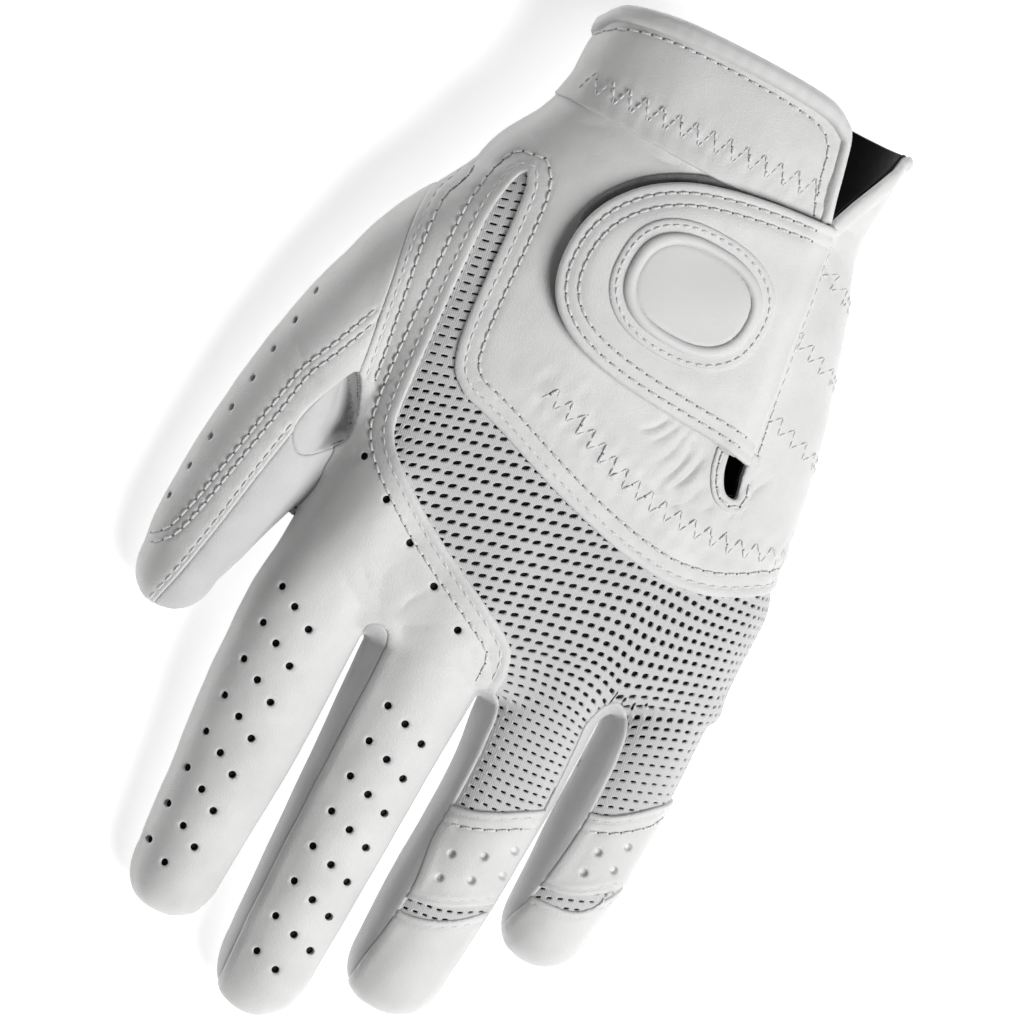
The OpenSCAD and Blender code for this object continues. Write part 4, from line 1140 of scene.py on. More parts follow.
def knitted(name, field, material, top, limits):
    """Knitted mesh: a ring of yarn about each opening of a warped grid, joined to its neighbours.

    A cell's outer corners lie on its border and its inner ones on a slanted superellipse, both at 12
    places, with the yarn's height a bell between them. The openings are long on the back of the hand,
    square over the knuckles of the ring and little fingers, and thin on the fingers and beside the thumb."""
    (i0, i1), (j0, j1) = limits
    j, i = [k.ravel() for k in np.meshgrid(np.arange(j0, j1 + 1.0), np.arange(i0, i1 + 1.0), indexing="ij")]
    border = np.array([(2, 0), (2, 2), (1, 2), (0, 2), (-1, 2), (-2, 2),
                       (-2, 0), (-2, -2), (-1, -2), (0, -2), (1, -2), (2, -2)], float) / 4
    angle = np.arctan2(border[:, 1], border[:, 0])
    rough = np.stack([np.sign(np.cos(angle)) * np.abs(np.cos(angle)) ** 0.7,
                      np.sign(np.sin(angle)) * np.abs(np.sin(angle)) ** 0.7], 1)
    pieces = []
    for rows, keep in ((RING_ROWS, i < -0.5), (LITTLE_ROWS, i > -0.5)):
        rows = {**HAND_ROWS, **rows}
        ci, cj = i[keep], j[keep]
        centre = grid_place(ci, cj, rows)
        inside = field(skin(centre), centre) < 1.0
        ci, cj, centre = ci[inside], cj[inside], centre[inside]
        s, t = centre.T
        thin = np.maximum(smoothstep(-t, 18, 32), smoothstep(t, 10, 24) * (s < -15))
        square = np.exp(-((s - 39) / 9) ** 2 - ((t + 7) / 13) ** 2)
        edge = smoothstep(s, 46, 56)
        length = (0.30 - 0.04 * square - 0.04 * edge - 0.03 * thin * (t < 0)
                  + 0.03 * (t > 12) * (s < -20))[:, None]
        width = (0.20 + 0.04 * square - 0.07 * thin - 0.03 * edge)[:, None]
        slant = (0.16 * (1 - thin) * (1 - square))[:, None]
        slot = np.stack([length * rough[:, 0] + 0 * slant, width * rough[:, 1]
                         + slant * length * rough[:, 0]], 2)
        rings, heights = [], []
        for k, h in YARN:
            rings.append(np.stack([ci, cj], 1)[:, None] + border[None] * (1 - k) + slot * k)
            heights.append(np.full((len(ci), 12), h))
        grid = np.stack(rings, 1).reshape(-1, 2)
        pieces.append((grid_place(grid[:, 0], grid[:, 1], rows), np.stack(heights, 1).ravel(), len(ci)))
    q = np.vstack([p[0] for p in pieces])
    lift = np.concatenate([p[1] for p in pieces])
    ids = np.arange(len(q)).reshape(-1, 4, 12)
    here, there = ids[:, :-1], ids[:, 1:]
    quads = np.stack([here, np.roll(here, -1, 2), np.roll(there, -1, 2), there], 3).reshape(-1, 4)
    key = np.round(q / JOIN).astype(np.int64)
    _, first, back = np.unique(key, axis=0, return_index=True, return_inverse=True)
    q, lift, quads = q[first], lift[first], back.reshape(-1)[quads]
    p = skin(q)
    n = normals_at(p)
    span = np.max([np.linalg.norm(p[quads[:, k]] - p[quads[:, k - 1]], axis=1) for k in range(4)], axis=0)
    inside = field(p, q)[quads].min(1) < 0.6
    quads = quads[(span < LONGEST_SIDE) & inside]
    tris = np.vstack([quads[:, [0, 1, 2]], quads[:, [0, 2, 3]]])
    tris = tris[(tris[:, 0] != tris[:, 1]) & (tris[:, 1] != tris[:, 2]) & (tris[:, 0] != tris[:, 2])]
    lift = lift + top + 0.6 * swell(q)
    verts, faces = shell(p, n, tris, lift, lift - YARN_DEPTH, 0.05)
    used = np.unique(faces)
    number = np.zeros(len(verts), int)
    number[used] = np.arange(len(used))
    return make(name, verts[used], number[faces], material)


# ---------------------------------------------------------------- finishes

class Finish:
    """A material in the making: its principled shader, its place on the piece, and its bumps in a chain."""

    def __init__(self, name, roughness, sheen=0.0, specular=0.4):
        self.material = bpy.data.materials.new(name)
        self.material.use_nodes = True
        self.tree = self.material.node_tree
        self.tree.nodes.clear()
        out = self.node("ShaderNodeOutputMaterial")
        self.shader = self.node("ShaderNodeBsdfPrincipled", Roughness=roughness)
        self.shader.inputs["Sheen Weight"].default_value = sheen
        self.shader.inputs["Specular IOR Level"].default_value = specular
        self.tree.links.new(self.shader.outputs[0], out.inputs["Surface"])
        self.place = self.node("ShaderNodeTexCoord").outputs["Object"]

    def node(self, kind, options=(), **inputs):
        """A node with its options set and its inputs linked to sockets or set to values."""
        node = self.tree.nodes.new(kind)
        for key, value in dict(options).items():
            setattr(node, key, value)
        for key, value in inputs.items():
            socket = node.inputs[key]
            if isinstance(value, bpy.types.NodeSocket):
                self.tree.links.new(value, socket)
            else:
                socket.default_value = value
        return node

    def stretched(self, x=1.0, y=1.0, z=1.0, turn=0.0):
        """The place on the piece, scaled along each axis and turned about z."""
        return self.node("ShaderNodeMapping", Vector=self.place, Scale=(x, y, z),
                         Rotation=(0, 0, turn)).outputs[0]

    def noise(self, scale, detail=3.0, roughness=0.55, place=None):
        return self.node("ShaderNodeTexNoise", Vector=place or self.place, Scale=scale, Detail=detail,
                         Roughness=roughness).outputs["Fac"]

    def cells(self, scale, feature="DISTANCE_TO_EDGE"):
        return self.node("ShaderNodeTexVoronoi", {"feature": feature}, Vector=self.place,
                         Scale=scale).outputs["Distance"]

    def waves(self, scale, direction="X", warp=0.0, place=None):
        node = self.node("ShaderNodeTexWave", {"bands_direction": direction}, Vector=place or self.place,
                         Scale=scale, Distortion=warp)
        return node.outputs["Fac"]

    def between(self, value, low, high, first=0.0, last=1.0):
        """A value's range moved to another range."""
        return self.node("ShaderNodeMapRange", Value=value, **{"From Min": low, "From Max": high,
                                                               "To Min": first, "To Max": last}).outputs[0]

    def product(self, a, b):
        node = self.node("ShaderNodeMath", {"operation": "MULTIPLY"})
        self.tree.links.new(a, node.inputs[0])
        self.tree.links.new(b, node.inputs[1])
        return node.outputs[0]

    def tint(self, factor, dark, light):
        """A colour between two, by a factor."""
        node = self.node("ShaderNodeMix", {"data_type": "RGBA"})
        self.tree.links.new(factor, node.inputs[0])
        for k, colour in ((6, dark), (7, light)):
            if isinstance(colour, bpy.types.NodeSocket):
                self.tree.links.new(colour, node.inputs[k])
            else:
                node.inputs[k].default_value = (*colour, 1)
        return node.outputs[2]

    def colour(self, socket):
        self.tree.links.new(socket, self.shader.inputs["Base Color"])

    def rough(self, socket):
        self.tree.links.new(socket, self.shader.inputs["Roughness"])

    def bump(self, height, millimetres, strength=1.0):
        """A bump laid over those already there."""
        normal = self.shader.inputs["Normal"]
        node = self.node("ShaderNodeBump", Height=height, Distance=millimetres * MM, Strength=strength)
        if normal.is_linked:
            self.tree.links.new(normal.links[0].from_socket, node.inputs["Normal"])
        self.tree.links.new(node.outputs[0], normal)


def shade(colour, by):
    """A colour made lighter or darker by a factor."""
    return tuple(min(c * by, 1.0) for c in colour)


def leather_finish(name, colour, roughness=0.5):
    """Fine-grained leather: small cells with pores between them, and slow patches of tone."""
    f = Finish(name, roughness, sheen=0.05, specular=0.35)
    warp = f.noise(260, 2)
    grain = f.between(f.cells(1500), 0.0, 0.22)
    fine = f.cells(2900, "F1")
    patches = f.noise(55, 4, 0.6)
    creases = f.between(f.noise(420, 5, 0.62, f.stretched(1, 0.55, 1)), 0.42, 0.6)
    tone = f.tint(f.between(patches, 0.35, 0.65), shade(colour, 0.93), shade(colour, 1.03))
    tone = f.tint(f.between(grain, 0.0, 0.8, 0.18, 0.0), tone, shade(colour, 0.84))
    f.colour(tone)
    f.rough(f.between(warp, 0.3, 0.7, roughness - 0.06, roughness + 0.08))
    f.bump(creases, 0.035, 0.4)
    f.bump(grain, 0.035, 0.6)
    f.bump(fine, 0.02, 0.4)
    return f.material


def thread_finish(name, colour):
    """Twisted sewing thread: fine bands that run across the stitch."""
    f = Finish(name, 0.55, sheen=0.2)
    ply = f.waves(700, "DIAGONAL", 1.5)
    f.colour(f.tint(ply, shade(colour, 0.82), colour))
    f.bump(ply, 0.05, 0.7)
    f.bump(f.noise(5200, 2), 0.02, 0.5)
    return f.material


def knit_finish(name, colour):
    """Knitted yarn: filaments that wander along the cloth, and a little fuzz."""
    f = Finish(name, 0.75, sheen=0.3, specular=0.2)
    strands = f.waves(850, "X", 1.2, f.stretched(1, 1, 1, -0.2))
    fuzz = f.noise(3800, 4, 0.7)
    f.colour(f.tint(f.product(strands, fuzz), shade(colour, 0.74), shade(colour, 1.12)))
    f.bump(strands, 0.06, 0.7)
    f.bump(fuzz, 0.05, 0.5)
    return f.material


def brushed_finish(name, colour, scale=2400, bump=0.12, sheen=0.4):
    """Brushed cloth: short matted fibres."""
    f = Finish(name, 0.9, sheen=sheen, specular=0.1)
    fibres = f.noise(scale, 6, 0.75, f.stretched(1, 0.6, 1, 0.6))
    clumps = f.noise(scale / 6, 3)
    f.colour(f.tint(f.product(fibres, f.between(clumps, 0.3, 0.7, 0.6, 1.3)), shade(colour, 0.5),
                    shade(colour, 1.7)))
    f.bump(fibres, bump, 0.9)
    f.bump(clumps, bump * 2, 0.5)
    return f.material


def moulded_finish(name, colour, roughness, texture, bump):
    """Soft moulded rubber: an even fine texture and faint patches."""
    f = Finish(name, roughness, specular=0.45)
    fine = f.noise(texture, 3)
    patches = f.noise(80, 2)
    f.colour(f.tint(patches, shade(colour, 0.95), shade(colour, 1.03)))
    f.rough(f.between(fine, 0.3, 0.7, roughness - 0.08, roughness + 0.1))
    f.bump(fine, bump, 0.6)
    return f.material


def woven_finish(name, colour, pitch):
    """Woven elastic: ribs one way and yarns the other."""
    f = Finish(name, 0.8, sheen=0.2, specular=0.2)
    ribs, yarns = f.waves(pitch, "X"), f.waves(pitch * 1.8, "Y")
    weave = f.product(ribs, yarns)
    f.colour(f.tint(weave, shade(colour, 0.6), colour))
    f.bump(weave, 0.15, 0.8)
    f.bump(f.noise(3500, 3), 0.03, 0.5)
    return f.material


def floor_finish():
    """White paper that glows a little, so that the glove's shade on it is faint."""
    f = Finish("floor_paper", 0.9, specular=0.1)
    fine, slow = f.noise(300, 4), f.noise(3, 2)
    f.colour(f.tint(slow, (0.93, 0.93, 0.93), (0.95, 0.95, 0.95)))
    f.bump(fine, 0.02, 0.2)
    f.shader.inputs["Emission Color"].default_value = (1, 1, 1, 1)
    f.shader.inputs["Emission Strength"].default_value = FLOOR_GLOW
    return f.material


FINISHES = {
    "leather": lambda s: leather_finish("leather", s.leather_colour),
    # The same leather in a darker grey: painted shade for the strips between the fingers, the thumb's
    # underside and the gusset
    "side_leather": lambda s: leather_finish("side_leather", s.shaded_side_colour, 0.55),
    "band_leather": lambda s: leather_finish("band_leather", shade(s.leather_colour, 0.95)),
    "thread": lambda s: thread_finish("thread", s.thread_colour),
    # Dark grey of painted shade for the needle holes
    "painted_needle_shade": lambda s: moulded_finish("painted_needle_shade", (0.16, 0.16, 0.16), 0.8, 2500, 0.05),
    "knit": lambda s: knit_finish("knit", s.mesh_colour),
    "lining": lambda s: brushed_finish("lining", s.lining_colour),
    "loops": lambda s: brushed_finish("loops", s.loop_colour, 1600, 0.25, 0.6),
    "backing": lambda s: woven_finish("backing", shade(s.leather_colour, 0.85), 900),
    "hooks": lambda s: moulded_finish("hooks", (0.62, 0.62, 0.62), 0.45, 1800, 0.03),
    "elastic": lambda s: woven_finish("elastic", (0.75, 0.75, 0.74), 700),
    "badge_rim": lambda s: moulded_finish("badge_rim", (0.65, 0.65, 0.645), 0.5, 1500, 0.02),
    "badge_field": lambda s: moulded_finish("badge_field", (0.60, 0.60, 0.595), 0.5, 2600, 0.05),
}


def finish(name):
    """The material of a name, made once."""
    if name not in _cache:
        _cache[name] = FINISHES[name](settings())
    return _cache[name]


def stands_for(piece, slot, *nodes):
    """Hides the parts of the frame that a piece stands for, and gives the piece back. slot is not used."""
    if nodes:
        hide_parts(*nodes)
    return piece


# ---------------------------------------------------------------- fields and heights of the closing tab

FOLD_TOP, FOLD_LOW = np.array([30.5, 83.3]), np.array([38.0, 33.2])
FOLD_WAY = (np.array([-(FOLD_TOP - FOLD_LOW)[1], (FOLD_TOP - FOLD_LOW)[0]])
            / np.linalg.norm(FOLD_TOP - FOLD_LOW))
TAB_FIELD = on_top(shape(TAB_EDGE))


def from_fold(q):
    """Distance of a place from the tab's sewn edge, towards its free end."""
    return (q - FOLD_TOP) @ FOLD_WAY


def past_fold(by):
    """Inside past a distance from the tab's sewn edge."""
    return lambda p, q: by - from_fold(q)


def tab_rise(q):
    """Height of the tab's face: it climbs from its sewn edge, and its free edge is pressed down."""
    full = settings().tab_height / MM
    edge = path_distance(q, TAB_EDGE)
    soft = sum(0.07 * np.sin(q @ np.array(w) + k) for k, w in enumerate([(0.31, 0.12), (-0.14, 0.36),
                                                                         (0.22, -0.29)]))
    pressed = 0.75 * (1 - smoothstep(edge, 0, 7)) * smoothstep(from_fold(q), 1.0, 8.0)
    return TAB_ROOT + (full - TAB_ROOT) * smoothstep(from_fold(q), 0.2, 6.0) - pressed + soft


def fold_ends():
    """The two points between which the tab's leather bends."""
    middle = (FOLD_TOP + FOLD_LOW) / 2
    p = skin(np.array([middle + 0.6 * FOLD_WAY, middle + 6.5 * FOLD_WAY]))
    return [tuple((k + SHIFT) * MM) for k in p]


def bends(piece):
    """Bakes a tab piece's placing into its mesh, and gives it back; the fold's ends are worked out but not
    used.
    """
    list(fold_ends())
    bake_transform(piece)
    return piece


def oval(grow):
    """A rounded oval about the badge's centre, grown by so much: a superellipse of power OVAL_POWER."""
    def field(p, q):
        x, y = (q - BADGE_CENTRE).T
        a, b = BADGE_SIZE[0] / 2 + grow, BADGE_SIZE[1] / 2 + grow
        f = ((np.abs(x) / a) ** OVAL_POWER + (np.abs(y) / b) ** OVAL_POWER) ** (1 / OVAL_POWER)
        return np.maximum((f - 1) * np.hypot(x, y) / np.maximum(f, 0.2), upper_side(p))
    return field


def near_path(path, reach):
    """Inside within a distance of a path."""
    return lambda p, q: path_distance(q, path) - reach


def roll(radius, lift):
    """Height of a rolled edge inside a field: a half ellipse, lift high.

    Its crest is one radius in from the edge.
    """
    def height(inside):
        k = np.clip(1 - inside / radius, 0, 1)
        return lift * (np.sqrt(1 - k * k * 0.99) - 1)
    return height


def rolled(name, field, material, top, bottom, radius, lift):
    """A binding: a rounded bar along its field's edges, tucked round to the inside."""
    patch = base().near(field, NEAR)
    for reach in (3.0, 2.0):
        patch = patch.refine(lambda p, q: field(p, q) < reach)
    patch = patch.clip(field)
    inside = -field(patch.points, patch.places)
    height = roll(radius, lift)(inside)
    ripple = 0.03 * np.sin(patch.places[:, 0] * 1.9 + 0.6 * np.sin(patch.places[:, 0] * 0.5))
    verts, faces = shell(patch.points, normals_at(patch.points), patch.tris, top + height + ripple,
                         bottom - 0.6 * height, 0.25)
    return make(name, verts, faces, material)


# ---------------------------------------------------------------- fields of the other pieces

CUFF_CREST = spline([(-60, 90), (-33, 95.6), (-29, 98), (-27.3, 100.2), (-25, 101.8), (-18, 103.2),
                     (-10, 104), (5, 104.6), (16, 104.4), (20, 103.7), (23, 102.1), (25.5, 100.8), (31, 101),
                     (35, 101.8), (38, 102.8), (45, 103.5), (100, 103.5)])


def cuff_top(q):
    """The cuff's edge rises from its thumb side.

    It is lower where the palm's hem shows in the slit's mouth.
    """
    return np.interp(q[:, 0], CUFF_CREST[:, 0], CUFF_CREST[:, 1])


def past_cuff(by):
    """Inside past a line that lies the given distance from the cuff's edge."""
    return lambda p, q: cuff_top(q) + by - q[:, 1]


def below_cuff(by):
    """Inside below a line that lies the given distance from the cuff's edge."""
    return lambda p, q: q[:, 1] - cuff_top(q) - by


CUFF_EDGE = past_cuff(-BINDING)
BAND_FIELD = both(shape(BAND), above)
BINDING_FIELD = both(BAND_FIELD, either(CUFF_EDGE, near_path(BAND_END, 2.2)), below_cuff(0.6))
HEM_FIELD = less(both(CUFF_EDGE, below_cuff(0)), BAND_FIELD, on_top(shape(MOUTH)),
                 on_top(near_path(WING_EDGE, 1.6)))
MESH_FIELD = less(both(INSERT_FIELD, above), SIDES, BELOW_RING_BAND, BELOW_LITTLE_BAND)


def ring_side(p, q):
    """The places across the ring finger, from 14.5 to 40.1."""
    return np.abs(q[:, 0] - 27.3) - 12.8


RING_BAND = less(both(BELOW_RING_BAND, above, ring_side), SIDES, BELOW_RING_FLEX)
RING_FLEX = less(both(BELOW_RING_FLEX, above), SIDES, BELOW_RING_CAP)
RING_CAP = less(both(BELOW_RING_CAP, above), SIDES)
LITTLE_BAND = less(both(BELOW_LITTLE_BAND, above), SIDES, BELOW_LITTLE_FLEX)
LITTLE_FLEX = less(both(BELOW_LITTLE_FLEX, above), SIDES, BELOW_LITTLE_CAP)
LITTLE_CAP = less(both(BELOW_LITTLE_CAP, above), SIDES)
THUMB_BACK = less(THUMB_FIELD, shape(THUMB_FRONT), GUSSET_FIELD)
THUMB_FRONT_FIELD = less(both(THUMB_FIELD, shape(THUMB_FRONT)), GUSSET_FIELD)
GUSSET_CROOK = spline([(-37.2, 10.5), (-35.4, 6.5), (-34.3, 2.5), (-34.2, -0.5)])


def flat(top):
    """Height of the leather under a row of stitches."""
    return lambda q: top + relief(q) - 0.1


def sew_rows(name, rows, field, top=0.0):
    """Rows of stitches where they lie on a panel, whose height is top."""
    stands_for(sewn(name, kept([row_stitches(r) for r in rows], field), flat(top)), "leather")


# ---------------------------------------------------------------- operators

class GLOVE_OT_palm(bpy.types.Operator):
    """The palm leather with the fronts of the fingers, and its hem at the cuff"""
    bl_idname = "glove.palm"
    bl_label = "Palm leather"

    def execute(self, context):
        piece = panel("palm_leather_sewn", palm_field, finish("leather"), relieved=0.8)
        stands_for(piece, "leather", "palm_leather", "index_front", "middle_front", "ring_front",
                   "little_front")
        hem = rolled("cuff_hem_rolled", HEM_FIELD, finish("leather"), 0.95, -1.0, 1.5, 0.9)
        stands_for(hem, "leather", "palm_cuff_hem")
        return {"FINISHED"}


class GLOVE_OT_back(bpy.types.Operator):
    """The back leather with the backs of the index and middle fingers, pierced with air holes"""
    bl_idname = "glove.back"
    bl_label = "Back leather"

    def execute(self, context):
        rows = ROWS["insert"] + ROWS["thumb seam"]
        piece = panel("back_leather_sewn", back_field, finish("leather"), rows=rows + [SEWN_ROW],
                      holes=FINGER_HOLES, turned=0.28, fine=(1.8, 0.5))
        stands_for(piece, "leather", "back_leather", "index_back", "middle_back")
        sew_rows("back_stitching", rows, back_field)
        return {"FINISHED"}


class GLOVE_OT_mesh(bpy.types.Operator):
    """The knitted insert across the knuckles"""
    bl_idname = "glove.mesh"
    bl_label = "Knitted insert"

    def execute(self, context):
        piece = knitted("knitted_insert", MESH_FIELD, finish("knit"), -0.5, ((-33, 32), (-26, 40)))
        stands_for(piece, "mesh", "back_mesh")
        return {"FINISHED"}


class GLOVE_OT_knuckles(bpy.types.Operator):
    """The knuckle bands, flex meshes and tip caps of the ring and little fingers"""
    bl_idname = "glove.knuckles"
    bl_label = "Knuckle bands and caps"

    def execute(self, context):
        for who, band, flex, cap, holes, limits in (
                ("ring", RING_BAND, RING_FLEX, RING_CAP, RING_HOLES, ((-12, -1), (-38, -32))),
                ("little", LITTLE_BAND, LITTLE_FLEX, LITTLE_CAP, LITTLE_HOLES, ((0, 32), (-31, -25)))):
            rows = ROWS[who + " band"]
            piece = panel(who + "_band_sewn", band, finish("leather"), rows=rows, holes=holes, hole_depth=0.8,
                          relieved=0.5, turned=0.35)
            stands_for(piece, "leather", who + "_knuckle_band")
            sew_rows(who + "_band_stitching", rows, band)
            piece = knitted(who + "_flex_knitted", flex, finish("knit"), -0.35, limits)
            stands_for(piece, "mesh", who + "_flex_mesh")
            rows = ROWS[who + " cap"]
            piece = panel(who + "_cap_sewn", cap, finish("leather"), rows=rows, relieved=0.5, turned=0.3)
            stands_for(piece, "leather", who + "_tip_cap")
            sew_rows(who + "_cap_stitching", rows, cap)
        return {"FINISHED"}


class GLOVE_OT_sides(bpy.types.Operator):
    """The strips between the fingers"""
    bl_idname = "glove.sides"
    bl_label = "Side strips"

    def execute(self, context):
        # The strips get the darker copy of the leather, whose grey is painted shade
        for name in GAPS:
            piece = panel("strip_" + name + "_sewn", side_strip(name), finish("side_leather"), top=-0.05,
                          relieved=0.5, turned=0.12)
            stands_for(piece, "side_leather", "side_strip_" + name)
        return {"FINISHED"}


class GLOVE_OT_thumb(bpy.types.Operator):
    """The two thumb pieces and the gusset in the crook of the thumb"""
    bl_idname = "glove.thumb"
    bl_label = "Thumb"

    def execute(self, context):
        rows = ROWS["thumb"] + ROWS["thumb split"]
        piece = panel("thumb_back_sewn", THUMB_BACK, finish("leather"), rows=rows, holes=THUMB_HOLES,
                      narrow=2.2, turned=0.15)
        stands_for(piece, "leather", "thumb_back")
        sew_rows("thumb_stitching", rows, THUMB_BACK)
        # The thumb's underside and the gusset get the darker copy of the leather, whose grey is painted shade
        piece = panel("thumb_front_sewn", THUMB_FRONT_FIELD, finish("side_leather"), top=-0.05)
        stands_for(piece, "leather", "thumb_front")

        def sink(q):
            """The gusset's hollow: 4.6 mm deep along its crook, and level at its edge."""
            bowl = np.exp(-(path_distance(q, GUSSET_CROOK) / 4.2) ** 2)
            return -4.6 * smoothstep(-GUSSET_FIELD(q, q), 0.1, 0.9) * bowl

        piece = panel("thumb_gusset_sewn", GUSSET_FIELD, finish("side_leather"), top=-0.25, thickness=0.6,
                      surface=sink, follow=True, fine=(6.0, 4.0))
        stands_for(piece, "side_leather", "thumb_gusset")
        return {"FINISHED"}


class GLOVE_OT_cuff(bpy.types.Operator):
    """The cuff band with its binding, and the zigzag stitching over the elastics"""
    bl_idname = "glove.cuff"
    bl_label = "Cuff"

    def execute(self, context):
        field = less(BAND_FIELD, past_cuff(-1.6), near_path(BAND_END, 1.2))
        piece = panel("cuff_band_sewn", field, finish("band_leather"), top=0.8, thickness=1.0,
                      rows=ROWS["cuff"])
        stands_for(piece, "leather", "cuff_band")
        stands_for(sewn("cuff_stitching", [row_stitches(r) for r in ROWS["cuff"]], flat(0.8)), "leather")
        piece = rolled("cuff_binding_rolled", BINDING_FIELD, finish("leather"), 1.95, -1.5, 1.5, 1.5)
        stands_for(piece, "leather", "cuff_binding")
        for name, stitches, top, hole in (
                ("cuff_zigzag", [zigzag_stitches(CUFF_ZIGZAG, 3.6, 4.6)], 0.8, ZIGZAG_SHADE),
                ("back_zigzag", [zigzag_stitches(BACK_ZIGZAG, 3.4, 4.2, 2)], 0, ZIGZAG_SHADE),
                ("side_zigzags", [zigzag_stitches(z, 3.2, 3.6, 2) for z in SIDE_ZIGZAGS], 0, NEEDLE_SHADE)):
            stands_for(sewn(name, stitches, flat(top), hole=hole), "leather")
        return {"FINISHED"}


class GLOVE_OT_slit(bpy.types.Operator):
    """The rolled edge of the slit's wing and the facing of the keyhole"""
    bl_idname = "glove.slit"
    bl_label = "Slit edges"

    def execute(self, context):
        field = less(both(near_path(WING_EDGE, 2.6), on_top(below_cuff(-0.3))),
                     on_top(shape(MOUTH)), on_top(shape(SLIT_SHAPE)))
        piece = rolled("wing_edge_rolled", field, finish("leather"), 0.75, -1.3, 1.3, 0.9)
        stands_for(piece, "leather", "slit_binding")
        field = less(on_top(grown(shape(KEYHOLE), 2.6)), SLIT_FIELD, grown(TAB_FIELD, 0.3))
        piece = panel("keyhole_facing_sewn", field, finish("leather"), top=0.6, relieved=0.6,
                      rows=ROWS["keyhole"])
        stands_for(piece, "leather", "keyhole_facing")
        sew_rows("keyhole_stitching", ROWS["keyhole"], field, 0.6)
        return {"FINISHED"}


class GLOVE_OT_lining(bpy.types.Operator):
    """The black lining and the elastics inside it"""
    bl_idname = "glove.lining"
    bl_label = "Lining and elastics"

    def execute(self, context):
        inside = less(below_cuff(-0.1), SLIT_FIELD, on_top(grown(GUSSET_FIELD, -0.3)))
        piece = panel("lining_brushed", inside, finish("lining"), top=LINING_TOP, thickness=0.35, lip=0.2,
                      relieved=0, fine=(), follow=True)
        stands_for(piece, "lining", "inner_lining")
        level = on_top(lambda p, q: -1.0 + 0 * q[:, 0])
        for name, paths, side, node in (
                ("cuff_elastic_woven", [CUFF_ZIGZAG], both(above, level), "cuff_elastic"),
                ("back_elastic_woven", [BACK_ZIGZAG], both(above, level), "back_elastic"),
                ("side_elastics_woven", SIDE_ZIGZAGS, above, "side_elastics")):
            field = less(both(either(*[near_path(z, 3.0) for z in paths]), side), SLIT_FIELD)
            piece = panel(name, field, finish("elastic"), top=ELASTIC_TOP, thickness=0.6, relieved=0,
                          fine=(1.0,), follow=True)
            stands_for(piece, "elastic", node)
        return {"FINISHED"}


class GLOVE_OT_loops(bpy.types.Operator):
    """The patch of knitted loops under the tab"""
    bl_idname = "glove.loops"
    bl_label = "Loop patch"

    def execute(self, context):
        def free(p, q):
            return TAB_FIELD(p, q) - 2.7 * smoothstep(q[:, 1], 52, 64) + 1.2

        field = less(both(free, past_fold(3.0)), grown(SLIT_FIELD, 1.0), grown(BAND_FIELD, 0.2))
        piece = panel("loop_patch_knitted", field, finish("loops"), top=1.0, thickness=1.1, relieved=0.4,
                      lip=0.9)
        stands_for(piece, "loops", "loop_patch")
        return {"FINISHED"}


class GLOVE_OT_tab(bpy.types.Operator):
    """The closing tab: leather, backing, hooks and stitching. It rises from its sewn edge"""
    bl_idname = "glove.tab"
    bl_label = "Closing tab"

    def execute(self, context):
        on_tab = {"surface": tab_rise, "relieved": 0, "follow": True}
        piece = panel("tab_leather_sewn", TAB_FIELD, finish("leather"), rows=TAB_ROWS, lip=0.7, drop=0.8,
                      thickness=lambda q: 0.8 + 1.3 * (1 - smoothstep(from_fold(q), 0.4, 1.6)),
                      fine=(30.0, 1.0), body=None, **on_tab)
        stands_for(bends(piece), "leather", "tab_leather", "tab_base")
        field = both(grown(TAB_FIELD, -0.7), past_fold(2.4))
        piece = panel("tab_backing_woven", field, finish("backing"), top=-0.82, thickness=0.7, fine=(1.0,),
                      body=None, **on_tab)
        stands_for(bends(piece), "leather", "tab_backing")
        field = both(grown(TAB_FIELD, -4.0), past_fold(7.0))
        piece = panel("tab_hooks_moulded", field, finish("hooks"), top=-1.54, thickness=0.85, fine=(1.0,),
                      body="tab", **on_tab)
        stands_for(piece, "hooks", "hook_patch")
        pairs = kept([row_stitches(r) for r in TAB_ROWS], both(TAB_FIELD, past_fold(2.2)), 1.0)
        piece = sewn("tab_stitching", pairs, lambda q: tab_rise(q) - 0.1, body=None)
        stands_for(bends(piece), "leather")
        # The tab's dark lenses of painted shade at its needle holes
        bends(bpy.data.objects["tab_stitching_needle_holes"])
        stands_for(sewn("tab_seam_stitching", [row_stitches(SEWN_ROW)], flat(0)), "leather")
        return {"FINISHED"}


class GLOVE_OT_badge(bpy.types.Operator):
    """The plain oval badge: a stitched backing, a raised rim and a sunk field"""
    bl_idname = "glove.badge"
    bl_label = "Oval badge"

    def execute(self, context):
        on_badge = {"surface": tab_rise, "relieved": 0, "follow": True, "body": "tab"}
        piece = panel("badge_backing_sewn", oval(2.6), finish("leather"), top=0.5, thickness=0.5,
                      fine=(3.0, 1.0), **on_badge)
        stands_for(piece, "leather", "badge_backing")
        angle = np.linspace(0, 2 * math.pi, 73)
        ring = np.stack([np.sign(wave) * np.abs(wave) ** 0.85 * (size / 2 + 1.5)
                         for wave, size in zip((np.cos(angle), np.sin(angle)), BADGE_SIZE)], 1)
        piece = sewn("badge_stitching", [row_stitches(ring + BADGE_CENTRE, 1.9)],
                     lambda q: tab_rise(q) + 0.45, body="tab")
        stands_for(piece, "badge")
        piece = panel("badge_rim_moulded", less(oval(0), oval(-2.2)), finish("badge_rim"), top=1.5, lip=1.0,
                      drop=0.7, thickness=1.0, fine=(4.0, 2.0), **on_badge)
        stands_for(piece, "badge", "badge_rim")
        piece = panel("badge_field_moulded", oval(-2.0), finish("badge_field"), top=0.9, thickness=0.4,
                      fine=(4.0,), **on_badge)
        stands_for(piece, "badge_field", "badge_field")
        return {"FINISHED"}


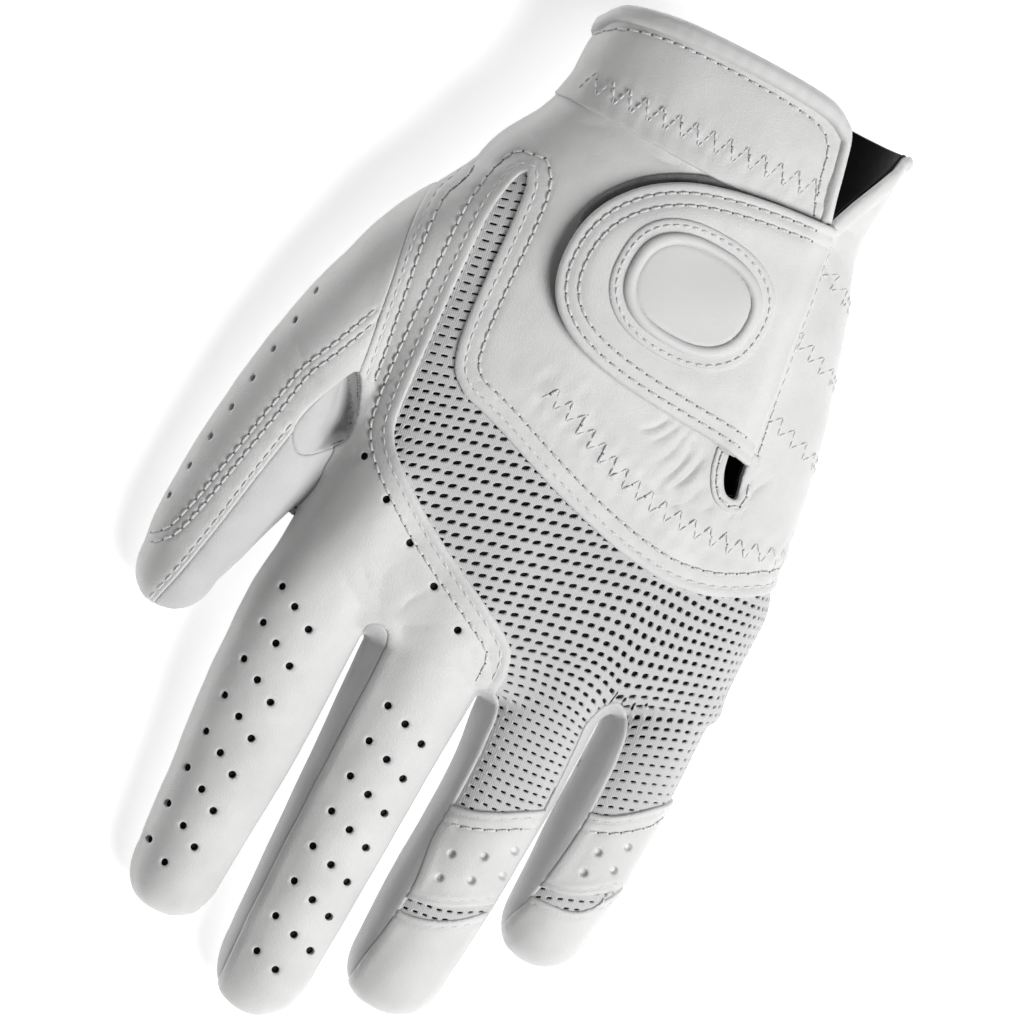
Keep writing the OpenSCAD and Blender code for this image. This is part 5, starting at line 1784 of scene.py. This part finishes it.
class GLOVE_OT_stage(bpy.types.Operator):
    """Floor, lights, world and camera"""
    bl_idname = "glove.stage"
    bl_label = "Stage"

    def execute(self, context):
        s, scene, r = settings(), context.scene, FLOOR_HALF
        mesh = bpy.data.meshes.new("floor")
        mesh.from_pydata([(-r, -r, 0), (r, -r, 0), (r, r, 0), (-r, r, 0)], [], [(0, 1, 2, 3)])
        mesh.materials.append(floor_finish())
        floor = bpy.data.objects.new("floor", mesh)
        scene.collection.objects.link(floor)
        world = bpy.data.worlds.new("studio")
        scene.world = world
        world.use_nodes = True
        world.node_tree.nodes["Background"].inputs[0].default_value = (1, 1, 1, 1)
        world.node_tree.nodes["Background"].inputs[1].default_value = WORLD_STRENGTH
        scene.view_settings.view_transform = "Standard"
        along_hand = np.array([0, 1.0, 0])
        across = math.cos(s.camera_turn) * ACROSS + math.sin(s.camera_turn) * along_hand
        up = -math.sin(s.camera_turn) * ACROSS + math.cos(s.camera_turn) * along_hand
        target = (plane_point(np.array([1.43]), np.array([2.6]))[0] + 5 * OUTWARD + SHIFT) * MM
        for name, kind, place, size, power in LIGHTS:
            light = bpy.data.lights.new(name, kind)
            light.energy = power
            if kind == "SUN":
                light.angle = size
            else:
                light.size = size
            lamp = bpy.data.objects.new(name, light)
            lamp.location = Vector(target + place[0] * across + place[1] * up + place[2] * OUTWARD)
            lamp.rotation_euler = (Vector(target) - lamp.location).to_track_quat("-Z", "Y").to_euler()
            scene.collection.objects.link(lamp)
        lens = bpy.data.cameras.new("camera")
        lens.sensor_width = SENSOR
        lens.lens = SENSOR * s.camera_distance / VIEW_WIDTH
        lens.clip_end = FAR_CLIP
        camera = bpy.data.objects.new("camera", lens)
        camera.matrix_world = Matrix((*zip(across, up, OUTWARD, target + s.camera_distance * OUTWARD),
                                      (0, 0, 0, 1)))
        scene.collection.objects.link(camera)
        scene.camera = camera
        return {"FINISHED"}


OPERATORS = (GLOVE_OT_palm, GLOVE_OT_back, GLOVE_OT_mesh, GLOVE_OT_knuckles, GLOVE_OT_sides, GLOVE_OT_thumb,
             GLOVE_OT_cuff, GLOVE_OT_slit, GLOVE_OT_lining, GLOVE_OT_loops, GLOVE_OT_tab, GLOVE_OT_badge,
             GLOVE_OT_stage)


class GLOVE_PT_panel(bpy.types.Panel):
    """The glove's pieces, in the order they are made"""
    bl_idname = "GLOVE_PT_panel"
    bl_label = "Glove"
    bl_space_type = "VIEW_3D"
    bl_region_type = "UI"
    bl_category = "Glove"

    def draw(self, context):
        for name in GloveSettings.__annotations__:
            self.layout.prop(settings(), name)
        for operator in OPERATORS:
            self.layout.operator(operator.bl_idname)


def register():
    for each in (GloveSettings, *OPERATORS, GLOVE_PT_panel):
        bpy.utils.register_class(each)
    bpy.types.Scene.glove_settings = bpy.props.PointerProperty(type=GloveSettings)


def unregister():
    del bpy.types.Scene.glove_settings
    for each in reversed((GloveSettings, *OPERATORS, GLOVE_PT_panel)):
        bpy.utils.unregister_class(each)


def main():
    register()
    for operator in OPERATORS:
        group, name = operator.bl_idname.split(".")
        getattr(getattr(bpy.ops, group), name)()


if __name__ == "__main__":
    main()
